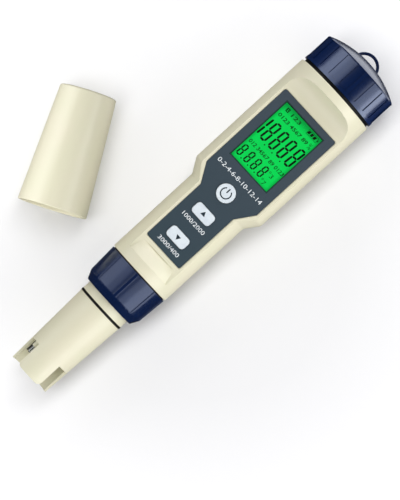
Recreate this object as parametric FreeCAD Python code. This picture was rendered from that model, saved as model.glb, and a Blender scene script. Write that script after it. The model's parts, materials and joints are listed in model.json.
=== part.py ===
import FreeCAD, Part
import math
import os

# A handheld water quality tester lying on its back, face up, with its probe cap
# taken off beside it. Lengths are in millimetres. Everything is modelled about the
# tester's own axis: a station is a distance along it from the probe tip towards the
# battery cap, a side is a distance to the left of it, and a height is measured up
# from it. The last step moves all pieces so that the origin is on the rest face.

# Lengths along the tester, from the probe tip upwards
sleeve_length = 38.7
o_ring_width = 1.1
neck_length = 3.6
collar_length = 16.25
collar_gasket_thickness = 0.5
grip_length = 42.55
shoulder_length = 6.0
display_margin = 10.4
window_length = 30.8
window_end_border = 3.0
cove_gap = 0.9
head_band = 3.8
cap_gasket_thickness = 1.4
cap_side_length = 12.7
dome_rise = 4.5
loop_rise = 3.5

# Radii of the outer forms, and how far the pieces at both ends stand back from them
sleeve_tip_radius = 9.65
neck_radius = 10.95
o_ring_proud = 0.17
grip_radius = 15.1
collar_lip = 1.45
collar_taper = 0.65
collar_inset = 0.2
collar_gasket_inset = 0.8
head_radius = 19.1
cap_gasket_inset = 1.1
cap_band_inset = 0.25
cap_side_inset = 0.1

# The sunken front panel, with a scoop at its lower end and a cove at its upper end
panel_height = 10.5
panel_wall = 2.2
scoop_offset = 4.65
scoop_length = 6.2
scoop_foot_border = 2.35
scoop_mouth_border = 0.65
scoop_dip = 0.5
scoop_lip = 0.12
overlay_offset = 12.85
overlay_border = 1.3
overlay_thickness = 0.5
overlay_sink = 0.1
overlay_corner = 0.9
overlay_waist_low = 0.5
overlay_waist_high = 1.5
panel_bevel = 0.3
shoulder_round = 2.0
end_round = 0.3

# The wall, the rest face on the back and the two threaded necks
wall = 1.7
rest_face_depth = 0.2
bulkhead_length = 6.0
lower_neck_length = 10.55
lower_neck_step = 2.6
lower_neck_wall = 1.6
upper_neck_length = 9.0
upper_neck_step = 2.5
upper_neck_wall = 1.2
socket_radius = 8.1

# Display window and display stack
window_width = 21.3
window_corner = 0.6
window_flange = 1.3
window_flange_thickness = 0.7
glass_margin = 1.6
glass_side_margin = 1.15
glass_thickness = 1.9
display_stack = 3.7
frame_wall = 1.0
strip_width = 1.5
strip_length = 29.0

# Keys and what lies under them
power_key_offset = 4.4
up_key_step = 12.2
down_key_step = 13.7
arrow_key_width = 9.8
arrow_key_length = 5.2
arrow_key_corner = 1.55
power_key_radius = 3.95
key_rise = 0.45
key_travel = 0.4
key_flange = 1.0
key_flange_thickness = 0.8
key_mat_thickness = 0.6
key_tray_margin = 1.2
key_tray_side_gap = 0.52
switch_size = 6.0
switch_height = 1.7
plunger_radius = 1.6
plunger_entry = 0.4
key_edge_round = 0.25

# Main board
board_thickness = 1.6
board_overhang = 0.8
board_start_offset = 4.35
board_side_gap = 0.5
board_waist_offset = 2.3
ledge_width = 1.2
ledge_thickness = 1.4
ledge_inset = 3.5

# Chips under the board, each placed from the housing's shoulder
chip_height = 1.2
controller_size = 9.0
controller_offset = 18.0
amplifier_length = 6.0
amplifier_width = 5.0
amplifier_offset = 4.0
amplifier_side = 3.0
reference_chip_length = 4.0
reference_chip_width = 3.2
reference_chip_offset = 4.5
reference_chip_side = 5.0
memory_length = 8.0
memory_width = 6.0
memory_offset = 8.0
converter_length = 5.0
converter_width = 4.0
converter_offset = 18.0
converter_side = 2.5
backlight_driver_length = 6.0
backlight_driver_width = 3.0
backlight_driver_offset = 30.0
backlight_driver_side = 5.0

# Battery cells, the cartridge that holds them and the bay that it slides into
cell_radius = 5.8
cell_length = 5.4
cell_step = 0.5
cell_step_radius = 4.6
cell_count = 4
cell_contact_thickness = 0.4
cell_contact_radius = 3.0
cartridge_wall = 1.0
cartridge_end_wall = 1.2
cartridge_flange_thickness = 1.4
cartridge_flange_inset = 0.8
cartridge_opening_height = 1.5
bay_wall = 1.0
bay_end_wall = 1.2
bay_flange_thickness = 3.0
bay_board_gap = 0.8
bay_sink = 0.2
bay_pin_radius = 0.6
bay_head_radius = 1.4
bay_head_length = 0.85
bay_pin_spacing = 5.6
strap_width = 2.0
strap_thickness = 0.3
strap_lift = 0.4

# Battery cap with its grip ribs, press boss and lanyard loop
cap_wall = 1.55
cap_dome_wall = 1.8
cap_band_length = 1.5
cap_rib_count = 20
cap_rib_width = 1.55
cap_panel_depth = 0.35
cap_panel_top_gap = 0.5
cap_rim_chamfer = 0.35
cap_boss_radius = 4.0
cap_boss_wall = 1.2
loop_half_width = 5.65
loop_band = 1.15
loop_depth = 3.2
loop_edge_round = 0.35

# Collar nut with its grip ribs
collar_chamfer_length = 3.7
collar_rib_count = 8
collar_rib_width = 1.6
collar_panel_depth = 0.4
collar_panel_offset = 3.5
collar_seat_offset = 3.9

# Probe module
sleeve_tip_wall = 0.9
module_flange_thickness = 2.1
module_flange_inset = 0.2
spigot_length = 9.6
module_ring_offset = 3.5
module_ring_width = 1.6
module_ring_depth = 1.1
module_wall = 1.5
module_plug_length = 6.0
o_ring_depth = 1.2
tongue_half_width = 6.0
tongue_corner = 2.0
slot_length = 11.5
carrier_length = 4.4
contact_pin_radius = 0.5
contact_pin_length = 4.6
contact_pin_circle = 5.0
contact_pin_count = 6
contact_pin_root = 2.0

# Sensors in the probe mouth
bulb_radius = 3.0
bulb_stem_radius = 2.2
bulb_tip_station = 5.2
stem_depth = 3.0
cell_pin_radius = 0.6
cell_pin_tip_station = 6.5
cell_pin_side = 4.6
cell_pin_drop = 3.6
thermistor_radius = 0.8
thermistor_tip_station = 6.0
thermistor_side = 6.6
thermistor_height = 1.5
thermistor_boss_radius = 1.25
thermistor_boss_length = 2.3
rod_radius = 0.37
rod_tip_station = 6.2
rod_side = 7.8
rod_height = 0.3
junction_radius = 1.4
junction_drop = 5.4
junction_rise = 0.4
sensor_root = 2.0

# Protective cap, a tapered cup that goes over the probe up to the collar
cup_collar_overlap = 1.0
cup_tip_space = 3.3
cup_mouth_wall = 1.55
cup_side_wall = 1.5
cup_end_wall = 1.6
cup_end_round = 0.8
cup_mouth_depth = 4.0
cup_tip_clearance = 0.6
cup_mouth_station = 51.6
cup_mouth_side = 42.9
cup_turn = 30.2

# Clearances
sliding_gap = 0.1
ring_gap = 0.04
seal_gap = 0.05
key_gap = 0.15
thread_gap = 0.4
cup_mouth_gap = 0.5
pocket_gap = 0.3
overlap = 1.0

# Stations along the axis
collar_station = sleeve_length + o_ring_width + neck_length
collar_top = collar_station + collar_length
housing_station = collar_top + collar_gasket_thickness
shoulder_station = housing_station + grip_length
head_station = shoulder_station + shoulder_length
window_start = head_station + display_margin
window_end = window_start + window_length
overlay_end = window_end + window_end_border
cup_length = collar_station + cup_collar_overlap + cup_tip_space + cup_end_wall

# Radii that follow the grip, the head and the probe
o_ring_radius = neck_radius + o_ring_proud
probe_bore_radius = sleeve_tip_radius - sleeve_tip_wall
collar_base_radius = neck_radius + collar_lip
collar_top_radius = grip_radius - collar_inset
collar_shoulder_radius = collar_top_radius - collar_taper
collar_gasket_radius = grip_radius - collar_gasket_inset
lower_neck_radius = grip_radius - lower_neck_step
module_flange_radius = lower_neck_radius - module_flange_inset
cap_gasket_radius = head_radius - cap_gasket_inset
cap_band_radius = head_radius - cap_band_inset
cap_side_radius = cap_band_radius - cap_side_inset
upper_neck_radius = head_radius - upper_neck_step
cartridge_flange_radius = upper_neck_radius - cartridge_flange_inset
cup_mouth_radius = collar_base_radius + cup_mouth_gap + cup_mouth_wall
cup_end_radius = sleeve_tip_radius + cup_tip_clearance + cup_side_wall
axis_height = head_radius - rest_face_depth

# Stations that follow the cove under the head's arch
cove_radius = head_radius - panel_height
cove_station = overlay_end + cove_gap
housing_end = cove_station + cove_radius + head_band
cap_station = housing_end + cap_gasket_thickness
cap_rim = cap_station + cap_side_length
dome_top = cap_rim + dome_rise
upper_neck_end = housing_end + upper_neck_length
lower_neck_start = housing_station - lower_neck_length
overlay_start = housing_station + overlay_offset
rest_station = (head_station + housing_end) / 2

# Heights above the axis in the display stack
panel_floor = panel_height - overlay_sink - overlay_thickness
overlay_top = panel_floor + overlay_thickness
panel_inside = panel_height - panel_wall
board_top = panel_inside - display_stack
board_bottom = board_top - board_thickness

# Key positions, and the depth of the pockets that the plungers travel in
power_key_station = shoulder_station + power_key_offset
up_key_station = power_key_station - up_key_step
down_key_station = up_key_station - down_key_step
switch_pocket_depth = plunger_entry + key_travel + sliding_gap

# Bores that several pieces share
grip_bore = grip_radius - wall
head_bore = head_radius - wall
upper_neck_bore = upper_neck_radius - upper_neck_wall
lower_neck_bore = lower_neck_radius - lower_neck_wall
bore_start = cove_station + cove_radius + wall
cavity_start = housing_station + bulkhead_length
socket_start = housing_station + sliding_gap

# Battery stations and the height of the battery bay's own axis
cartridge_radius = cell_radius + sliding_gap + cartridge_wall
bay_bore = cartridge_radius + sliding_gap
bay_radius = bay_bore + bay_wall
bay_height = board_bottom - bay_board_gap - bay_radius
cartridge_flange_start = upper_neck_end + seal_gap
cells_end = cartridge_flange_start - cell_contact_thickness
cells_start = cells_end - cell_count * cell_length
cartridge_start = cells_start - cell_contact_thickness - cartridge_end_wall
bay_floor = cartridge_start - strap_thickness - seal_gap - bay_head_length
bay_start = bay_floor - bay_end_wall

# Probe module stations
module_flange_start = collar_station + collar_seat_offset + seal_gap
spigot_start = module_flange_start + module_flange_thickness
spigot_end = spigot_start + spigot_length
spigot_radius = lower_neck_bore - sliding_gap
core_radius = probe_bore_radius - seal_gap
carrier_end = slot_length + carrier_length

along = FreeCAD.Vector(1, 0, 0)
upright = FreeCAD.Vector(0, 0, 1)
sideways = FreeCAD.Vector(0, 1, 0)
far = 4 * head_radius


def point(station, side, height):
    """A point in the tester's own frame."""
    return FreeCAD.Vector(station, side, height)


def flat_face(corners):
    """A flat face with straight edges through the corners."""
    return Part.Face(Part.makePolygon(corners + corners[:1]))


def turned(profile):
    """A solid turned about the axis from (station, radius) corners."""
    face = flat_face([point(station, 0, radius) for station, radius in profile])
    return face.revolve(point(0, 0, 0), along, 360)


def rod(start, end, radius, side=0.0, height=0.0):
    """A round bar along the tester."""
    return Part.makeCylinder(radius, end - start, point(start, side, height), along)


def tube(start, end, outer, inner, side=0.0, height=0.0):
    """A round bar along the tester with a bore through it."""
    bore = rod(start - overlap, end + overlap, inner, side, height)
    return rod(start, end, outer, side, height).cut(bore)


def post(low, high, radius, station, side=0.0):
    """A round bar that stands upright."""
    return Part.makeCylinder(radius, high - low, point(station, side, low), upright)


def block(start, end, right, left, low, high):
    """A box between two stations, two sides and two heights."""
    corner = point(start, right, low)
    return Part.makeBox(end - start, left - right, high - low, corner)


def stands_upright(edge):
    """Whether a straight edge points up."""
    first = edge.Vertexes[0].Point
    last = edge.Vertexes[-1].Point
    rise = abs(last.z - first.z)
    return math.isclose(rise, first.distanceToPoint(last)) and rise > 0


def lies_at_height(edge, height):
    """Whether every end of an edge is at one height."""
    return all(math.isclose(end.Z, height, abs_tol=1e-6) for end in edge.Vertexes)


def circles_at(solid, station, radius):
    """The circular edges of a turned solid at one station and radius."""
    found = []
    for edge in solid.Edges:
        if isinstance(edge.Curve, Part.Circle):
            same_place = math.isclose(edge.Curve.Center.x, station, abs_tol=1e-6)
            if same_place and math.isclose(edge.Curve.Radius, radius, abs_tol=1e-6):
                found.append(edge)
    return found


def round_corners(solid, radius):
    """Rounds the upright edges of a plate."""
    return solid.makeFillet(radius, [e for e in solid.Edges if stands_upright(e)])


def rounded_plate(start, end, half_width, corner, low, high):
    """A plate with rounded corners, centred on the axis."""
    return round_corners(block(start, end, -half_width, half_width, low, high), corner)


def half_chord(radius, height):
    """Half the width of a circle at a height above its centre."""
    return math.sqrt(radius ** 2 - height ** 2)


def waisted_plate(start, end, narrow, wide, waist_start, waist_end, low, high):
    """A plate that is narrow in the grip and wide in the head."""
    left = [(start, narrow), (waist_start, narrow), (waist_end, wide), (end, wide)]
    corners = [point(station, side, low) for station, side in left]
    corners += [point(station, -side, low) for station, side in reversed(left)]
    return flat_face(corners).extrude(upright * (high - low))


def overlay_plate(grow, low, high):
    """The outline of the front overlay, grown on every side."""
    narrow = half_chord(grip_radius, panel_height) - overlay_border + grow
    wide = half_chord(head_radius, panel_height) - overlay_border + grow
    plate = waisted_plate(overlay_start - grow, overlay_end + grow, narrow, wide,
                          shoulder_station - overlay_waist_low,
                          head_station + overlay_waist_high, low, high)
    return round_corners(plate, overlay_corner)


def window_plate(grow, low, high):
    """The outline of the display window, grown on every side."""
    return rounded_plate(window_start - grow, window_end + grow,
                         window_width / 2 + grow, window_corner, low, high)


def arrow_outline(station, grow, low, high):
    """The outline of an arrow key, grown on every side."""
    half_length = arrow_key_length / 2 + grow
    half_width = arrow_key_width / 2 + grow
    return rounded_plate(station - half_length, station + half_length,
                         half_width, arrow_key_corner + grow, low, high)


def power_outline(station, grow, low, high):
    """The outline of the round power key, grown on every side."""
    return post(low, high, power_key_radius + grow, station)


key_outlines = {
    "power": (power_outline, power_key_station),
    "up": (arrow_outline, up_key_station),
    "down": (arrow_outline, down_key_station),
}


def key_cuts(grow, low, high):
    """The three key outlines as one cutting tool."""
    return Part.Compound([outline(station, grow, low, high)
                          for outline, station in key_outlines.values()])


def ring_sector(start, end, inner, outer, from_angle, span):
    """Part of a ring about the axis; angles run from the front to the right."""
    corners = [point(start, 0, inner), point(start, 0, outer),
               point(end, 0, outer), point(end, 0, inner)]
    sector = flat_face(corners).revolve(point(0, 0, 0), along, span)
    sector.rotate(point(0, 0, 0), along, from_angle)
    return sector


def grip_panels(start, end, radius, depth, rib_width, rib_count, first_rib):
    """The shallow recesses between the ribs of a grip."""
    pitch = 360 / rib_count
    rib_angle = math.degrees(rib_width / radius)
    return Part.Compound([
        ring_sector(start, end, radius - depth, far,
                    first_rib + index * pitch + rib_angle / 2, pitch - rib_angle)
        for index in range(rib_count)
    ])


def domed_rod(start, radius, centre, ball_radius, chamfer=0.0):
    """A round bar whose upper end is part of a ball about a station on the axis."""
    top = centre + ball_radius
    rim_radius = radius - chamfer
    rim = centre + math.sqrt(ball_radius ** 2 - rim_radius ** 2)
    side_end = centre + math.sqrt(ball_radius ** 2 - radius ** 2) - chamfer
    middle_radius = rim_radius / 2
    middle = centre + math.sqrt(ball_radius ** 2 - middle_radius ** 2)
    corners = [(start, 0), (start, radius), (side_end, radius)]
    if chamfer > 0:
        corners.append((rim, rim_radius))
    places = [point(station, 0, r) for station, r in corners]
    dome = Part.Arc(places[-1], point(middle, 0, middle_radius), point(top, 0, 0))
    edges = [Part.LineSegment(a, b).toShape() for a, b in zip(places, places[1:])]
    edges.append(dome.toShape())
    edges.append(Part.LineSegment(point(top, 0, 0), places[0]).toShape())
    return Part.Face(Part.Wire(edges)).revolve(point(0, 0, 0), along, 360)


def ball_for(rim_radius, rise):
    """The radius of the ball that rises by a given height over a rim."""
    return (rim_radius ** 2 + rise ** 2) / (2 * rise)


# Housing: one moulded tube with the sunken panel and both necks
def housing_form():
    """The outer form with its shoulder, before anything is cut."""
    form = turned([(housing_station, 0), (housing_station, grip_radius),
                   (shoulder_station, grip_radius), (head_station, head_radius),
                   (housing_end, head_radius), (housing_end, 0)])
    bends = circles_at(form, shoulder_station, grip_radius)
    bends += circles_at(form, head_station, head_radius)
    form = form.makeFillet(shoulder_round, bends)
    ends = circles_at(form, housing_station, grip_radius)
    ends += circles_at(form, housing_end, head_radius)
    return form.makeFillet(end_round, ends)


def scoop_section(station, half_width, side_height, middle_height):
    """A section of the scoop, open above: a curved floor between upright sides."""
    left = point(station, -half_width, side_height)
    right = point(station, half_width, side_height)
    high_left = point(station, -half_width, far)
    high_right = point(station, half_width, far)
    floor = Part.Arc(left, point(station, 0, middle_height), right).toShape()
    sides = [Part.LineSegment(a, b).toShape()
             for a, b in [(right, high_right), (high_right, high_left), (high_left, left)]]
    return Part.Wire([floor] + sides)


def scoop_cut():
    """The scoop, which rises from a dip in the flat to the grip's round surface.

    The flat runs on beside it in two strips that narrow towards the collar.
    """
    start = housing_station + scoop_offset
    end = start + scoop_length
    flat_half_width = half_chord(grip_radius, panel_height)
    foot_half_width = flat_half_width - scoop_foot_border
    mouth_half_width = flat_half_width - scoop_mouth_border
    mouth_radius = grip_radius - scoop_lip
    mouth = scoop_section(start, mouth_half_width,
                          half_chord(mouth_radius, mouth_half_width), mouth_radius)
    foot = scoop_section(end, foot_half_width, panel_height, panel_height - scoop_dip)
    strips = [flat_face([point(start, hand * mouth_half_width, panel_height),
                         point(end, hand * foot_half_width, panel_height),
                         point(end, hand * far, panel_height),
                         point(start, hand * far, panel_height)]).extrude(upright * far)
              for hand in (-1, 1)]
    return Part.makeLoft([mouth, foot], True, True).fuse(strips)


def panel_cut():
    """What is cut from the front: the scoop, the flat and the cove as one tool."""
    cove = Part.makeCylinder(cove_radius, 2 * far,
                             point(cove_station, -far, panel_height + cove_radius),
                             sideways)
    flat = block(housing_station + scoop_offset + scoop_length, cove_station,
                 -far, far, panel_height, far)
    return scoop_cut().fuse([cove, flat])


def overlay_recess():
    """The shallow recess for the overlay, with a bevel round its mouth."""
    recess = overlay_plate(sliding_gap, panel_floor, panel_height)
    mouth = overlay_plate(sliding_gap + panel_bevel, panel_height - panel_bevel,
                          panel_height + panel_bevel)
    lower_rim = [e for e in mouth.Edges if lies_at_height(e, panel_height - panel_bevel)]
    return recess.fuse(mouth.makeChamfer(panel_bevel - seal_gap, lower_rim))


def housing_cavity():
    """The hollow for the board, the display and the battery bay."""
    hollow = turned([(cavity_start, 0), (cavity_start, grip_bore),
                     (shoulder_station, grip_bore), (head_station, head_bore),
                     (bore_start, head_bore), (bore_start, 0)])
    below_panel = block(cavity_start - overlap, bore_start + overlap,
                        -far, far, -far, panel_inside)
    round_bore = rod(bore_start - overlap, upper_neck_end + overlap, upper_neck_bore)
    round_bore = round_bore.cut(block(bore_start - 2 * overlap, bore_start,
                                      -far, far, panel_inside, far))
    return hollow.common(below_panel).fuse(round_bore)


def board_half_widths():
    """Half widths of the main board in the grip and in the head."""
    narrow = half_chord(grip_bore, board_top) - board_side_gap
    wide = half_chord(upper_neck_bore, board_top) - sliding_gap
    return narrow, wide


def board_ledges():
    """Ledges along both walls that carry the main board."""
    narrow, wide = board_half_widths()
    runs = [(cavity_start + ledge_inset, shoulder_station, narrow, grip_bore),
            (head_station + ledge_inset, bore_start - ledge_inset, wide, head_bore)]
    ledges = []
    for start, end, half_width, bore in runs:
        for hand in (-1, 1):
            sides = sorted([hand * (half_width - ledge_width), hand * (bore + wall / 2)])
            ledges.append(block(start, end, sides[0], sides[1],
                                board_bottom - ledge_thickness, board_bottom))
    return ledges


def make_housing():
    form = housing_form().fuse([
        rod(lower_neck_start, housing_station + overlap, lower_neck_radius),
        rod(housing_end - overlap, upper_neck_end, upper_neck_radius),
    ])
    ledges = [ledge.common(rod(cavity_start, bore_start, head_bore + wall / 2))
              for ledge in board_ledges()]
    shell = form.cut(housing_cavity())
    shell = shell.fuse([ledge.common(form) for ledge in ledges])
    module_bore = rod(lower_neck_start - overlap, housing_station, lower_neck_bore)
    socket_bore = rod(housing_station - overlap, cavity_start + overlap,
                      socket_radius + seal_gap)
    rest_cut = block(shoulder_station, cap_rim, -far, far, -far, -axis_height)
    window_rebate = window_plate(window_flange + sliding_gap,
                                 panel_floor - window_flange_thickness, panel_height)
    window_hole = window_plate(0, panel_inside - overlap, panel_height)
    return shell.cut([module_bore, socket_bore, rest_cut, panel_cut(),
                      overlay_recess(), window_rebate, window_hole,
                      key_cuts(key_gap, panel_inside - overlap, panel_height)])


# Front overlay, window and display
def make_panel_overlay():
    sheet = overlay_plate(0, panel_floor, overlay_top)
    window = window_plate(sliding_gap, panel_floor - overlap, overlay_top + overlap)
    return sheet.cut([window, key_cuts(key_gap, panel_floor - overlap,
                                       overlay_top + overlap)])


def make_lcd_window():
    flange = window_plate(window_flange, panel_floor - window_flange_thickness,
                          panel_floor)
    return flange.fuse(window_plate(0, panel_floor, overlay_top)).removeSplitter()


def display_box(end_grow, side_grow, low, high):
    """A box under the window, longer and wider than it by the given margins."""
    half_width = window_width / 2 + side_grow
    return block(window_start - end_grow, window_end + end_grow,
                 -half_width, half_width, low, high)


def make_lcd_glass():
    return display_box(glass_margin, glass_side_margin,
                       panel_inside - glass_thickness, panel_inside)


def make_lcd_frame():
    inner_end = glass_margin + sliding_gap
    inner_side = glass_side_margin + sliding_gap
    ring = display_box(inner_end + frame_wall, inner_side + frame_wall,
                       board_top, panel_inside)
    return ring.cut(display_box(inner_end, inner_side,
                                board_top - overlap, panel_inside + overlap))


def strip_side():
    """How far out the contact strips of the display begin."""
    return window_width / 2 + glass_side_margin - strip_width


def make_backlight_plate():
    return block(window_start - glass_margin, window_end + glass_margin,
                 sliding_gap - strip_side(), strip_side() - sliding_gap,
                 board_top, panel_inside - glass_thickness)


def make_zebra_connectors():
    middle = (window_start + window_end) / 2
    strips = []
    for hand in (-1, 1):
        sides = sorted([hand * strip_side(), hand * (strip_side() + strip_width)])
        strips.append(block(middle - strip_length / 2, middle + strip_length / 2,
                            sides[0], sides[1], board_top,
                            panel_inside - glass_thickness))
    return strips


# Board and what it carries
board_start = cavity_start + board_start_offset
board_end = window_end + glass_margin + sliding_gap + frame_wall + board_overhang


def make_main_board():
    narrow, wide = board_half_widths()
    return waisted_plate(board_start, board_end, narrow, wide, head_station,
                         head_station + board_waist_offset, board_bottom, board_top)


def chip(place, side, length, width):
    """A chip on the board's underside, placed from the housing's shoulder."""
    start = shoulder_station + place
    return block(start, start + length, side - width / 2, side + width / 2,
                 board_bottom - chip_height, board_bottom)


def make_board_components():
    return [
        chip(controller_offset, 0, controller_size, controller_size),
        chip(amplifier_offset, amplifier_side, amplifier_length, amplifier_width),
        chip(reference_chip_offset, -reference_chip_side,
             reference_chip_length, reference_chip_width),
        chip(-memory_offset, 0, memory_length, memory_width),
        chip(-converter_offset, converter_side, converter_length, converter_width),
        chip(backlight_driver_offset, backlight_driver_side,
             backlight_driver_length, backlight_driver_width),
    ]


def make_tact_switches():
    half = switch_size / 2
    top = board_top + switch_height
    return [block(station - half, station + half, -half, half, board_top, top).cut(
                post(top - switch_pocket_depth, top + overlap,
                     plunger_radius + key_gap, station))
            for _, station in key_outlines.values()]


# Keys
key_flange_top = panel_inside - sliding_gap
key_flange_bottom = key_flange_top - key_flange_thickness
key_tray_start = down_key_station - arrow_key_length / 2 - key_flange - key_tray_margin
key_tray_end = power_key_station + power_key_radius + key_flange + key_tray_margin
key_tray_half_width = half_chord(grip_bore, panel_inside) - key_tray_side_gap


def make_key(name):
    """A key cap with its flange, which stays under the panel."""
    outline, station = key_outlines[name]
    top = overlay_top + key_rise
    cap = outline(station, 0, key_flange_bottom, top)
    cap = cap.makeFillet(key_edge_round, [e for e in cap.Edges if lies_at_height(e, top)])
    flange = outline(station, key_flange, key_flange_bottom, key_flange_top)
    return cap.fuse(flange).removeSplitter()


def make_switch_plunger(name):
    """The push pin of the switch under a key."""
    station = key_outlines[name][1]
    top = board_top + switch_height
    return post(top - plunger_entry, key_flange_bottom, plunger_radius, station)


def make_key_mat():
    sheet = block(key_tray_start, key_tray_end, -key_tray_half_width,
                  key_tray_half_width, panel_inside - key_mat_thickness, panel_inside)
    return sheet.cut(key_cuts(key_flange + pocket_gap,
                              panel_inside - key_mat_thickness - overlap,
                              panel_inside + overlap))


def make_key_tray():
    tray = block(key_tray_start, key_tray_end, -key_tray_half_width,
                 key_tray_half_width, board_top, panel_inside - key_mat_thickness)
    return tray.cut(key_cuts(key_flange + pocket_gap, board_top - overlap, panel_inside))


# Battery bay, cartridge and cells
def bay_rod(start, end, radius):
    """A round bar on the battery bay's own axis."""
    return rod(start, end, radius, 0, bay_height)


def bay_pin_sides():
    """Sides of the two contact pins in the floor of the bay."""
    return (-bay_pin_spacing / 2, bay_pin_spacing / 2)


def make_battery_bay():
    flange_end = upper_neck_end - bay_sink
    flange = rod(flange_end - bay_flange_thickness, flange_end,
                 upper_neck_bore - seal_gap)
    shell = bay_rod(bay_start, flange_end, bay_radius).fuse(flange)
    pins = [rod(bay_start - overlap, bay_floor + overlap, bay_pin_radius + seal_gap,
                side, bay_height) for side in bay_pin_sides()]
    return shell.cut([bay_rod(bay_floor, flange_end + overlap, bay_bore)] + pins)


def make_bay_contacts():
    """Two contacts: a head in the bay, a pin through its floor, a riser to the board."""
    contacts = []
    riser_start = bay_start - seal_gap - strap_thickness
    for side in bay_pin_sides():
        head = rod(bay_floor, bay_floor + bay_head_length, bay_head_radius,
                   side, bay_height)
        pin = rod(riser_start, bay_floor + seal_gap, bay_pin_radius, side, bay_height)
        riser = block(riser_start, riser_start + strap_thickness,
                      side - strap_width / 2, side + strap_width / 2,
                      bay_height - strap_width / 2, board_bottom)
        contacts.append(head.fuse([pin, riser]))
    return contacts


def make_battery_cartridge():
    flange_end = cartridge_flange_start + cartridge_flange_thickness
    trough = bay_rod(cartridge_start, flange_end, cartridge_radius)
    trough = trough.cut(bay_rod(cells_start - cell_contact_thickness,
                                cartridge_flange_start, cell_radius + sliding_gap))
    mouth = block(cells_start - cell_contact_thickness, cartridge_flange_start,
                  -far, far, bay_height + cartridge_opening_height, far)
    flange = rod(cartridge_flange_start, flange_end, cartridge_flange_radius)
    notch = block(cartridge_start - overlap, cells_start,
                  -strap_width / 2 - sliding_gap, strap_width / 2 + sliding_gap,
                  bay_height + cell_contact_radius + sliding_gap, far)
    return trough.cut([mouth, notch]).fuse(flange)


def make_battery_cells():
    cells = []
    for index in range(cell_count):
        start = cells_start + index * cell_length
        can = bay_rod(start + cell_step, start + cell_length, cell_radius)
        cells.append(can.fuse(bay_rod(start, start + cell_step, cell_step_radius)))
    return cells


def make_cell_contacts():
    """The inner plate, and the outer plate with its strap back over the cells."""
    inner = bay_rod(cells_start - cell_contact_thickness, cells_start,
                    cell_contact_radius)
    strap_low = bay_height + cell_radius + strap_lift
    strap_high = strap_low + strap_thickness
    half = strap_width / 2
    back = cartridge_start - strap_thickness
    outer = bay_rod(cells_end, cartridge_flange_start, cell_contact_radius)
    rise = block(cells_end, cartridge_flange_start, -half, half, bay_height, strap_high)
    strap = block(back, cartridge_flange_start, -half, half, strap_low, strap_high)
    pad = block(back, cartridge_start, -half, half,
                bay_height + cell_contact_radius, strap_high)
    return [inner, outer.fuse([rise, strap, pad])]


# Battery cap and its gasket
def make_cap_gasket():
    return tube(housing_end, cap_station - seal_gap, cap_gasket_radius,
                upper_neck_radius + sliding_gap)


def lanyard_loop():
    """The moulded loop on top of the dome: part of a ring that stands on edge."""
    surface = ball_for(cap_side_radius, dome_rise)
    drop = surface - math.sqrt(surface ** 2 - loop_half_width ** 2)
    height = loop_rise + drop
    outer = (loop_half_width ** 2 + height ** 2) / (2 * height)
    centre = dome_top + loop_rise - outer
    half = loop_depth / 2
    ring = post(-half, half, outer, centre).cut(
        post(-half - overlap, half + overlap, outer - loop_band, centre))
    rims = [e for e in ring.Edges if isinstance(e.Curve, Part.Circle)]
    ring = ring.makeFillet(loop_edge_round, rims)
    root = dome_top - cap_dome_wall / 2 - drop
    return ring.common(block(root, dome_top + far, -far, far, -far, far))


def make_battery_cap():
    ball = ball_for(cap_side_radius, dome_rise)
    centre = dome_top - ball
    form = domed_rod(cap_station, cap_side_radius, centre, ball, cap_rim_chamfer)
    band = rod(cap_station, cap_station + cap_band_length, cap_band_radius)
    bore = cap_side_radius - cap_wall
    hollow = domed_rod(cap_station - overlap, bore, centre, ball - cap_dome_wall)
    panels = grip_panels(cap_station + cap_band_length, cap_rim - cap_panel_top_gap,
                         cap_side_radius, cap_panel_depth, cap_rib_width,
                         cap_rib_count, 180 / cap_rib_count)
    boss_start = (cartridge_flange_start + cartridge_flange_thickness + seal_gap)
    boss = tube(boss_start, dome_top - cap_dome_wall / 2, cap_boss_radius,
                cap_boss_radius - cap_boss_wall)
    boss = boss.common(form)
    return form.fuse([band, lanyard_loop()]).cut([hollow, panels]).fuse(boss)


# Collar nut and its gasket
def make_collar_gasket():
    return tube(collar_top + seal_gap, housing_station, collar_gasket_radius,
                lower_neck_radius + sliding_gap)


def make_collar_nut():
    shoulder = collar_station + collar_chamfer_length
    form = turned([(collar_station, 0), (collar_station, collar_base_radius),
                   (shoulder, collar_shoulder_radius), (collar_top, collar_top_radius),
                   (collar_top, 0)])
    neck_hole = rod(collar_station - overlap, collar_top, neck_radius + 2 * sliding_gap)
    thread_bore = rod(collar_station + collar_seat_offset, collar_top + overlap,
                      lower_neck_radius + thread_gap)
    panels = [panel.cut(turned([
        (shoulder, 0), (shoulder, collar_shoulder_radius - collar_panel_depth),
        (collar_top + overlap, collar_top_radius - collar_panel_depth),
        (collar_top + overlap, 0)]))
        for panel in grip_panels(collar_station + collar_panel_offset,
                                 collar_top + overlap, collar_shoulder_radius,
                                 collar_panel_depth, collar_rib_width,
                                 collar_rib_count, 0).Solids]
    return form.cut([neck_hole, thread_bore] + panels)


# Probe module
def make_probe_body():
    ring_floor = o_ring_radius - o_ring_depth
    module_floor = spigot_radius - module_ring_depth
    ring_start = spigot_start + module_ring_offset
    ring_end = ring_start + module_ring_width
    flange_start = module_flange_start
    return turned([
        (carrier_end, 0), (carrier_end, core_radius), (sleeve_length, core_radius),
        (sleeve_length, ring_floor), (sleeve_length + o_ring_width, ring_floor),
        (sleeve_length + o_ring_width, neck_radius), (flange_start, neck_radius),
        (flange_start, module_flange_radius), (spigot_start, module_flange_radius),
        (spigot_start, spigot_radius), (ring_start, spigot_radius),
        (ring_start, module_floor), (ring_end, module_floor),
        (ring_end, spigot_radius), (spigot_end, spigot_radius), (spigot_end, 0),
    ]).cut([
        rod(carrier_end - overlap, spigot_end - module_plug_length,
            core_radius - module_wall),
        contact_pins(spigot_end - contact_pin_root, spigot_end + overlap,
                     contact_pin_radius + seal_gap),
    ])


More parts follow.
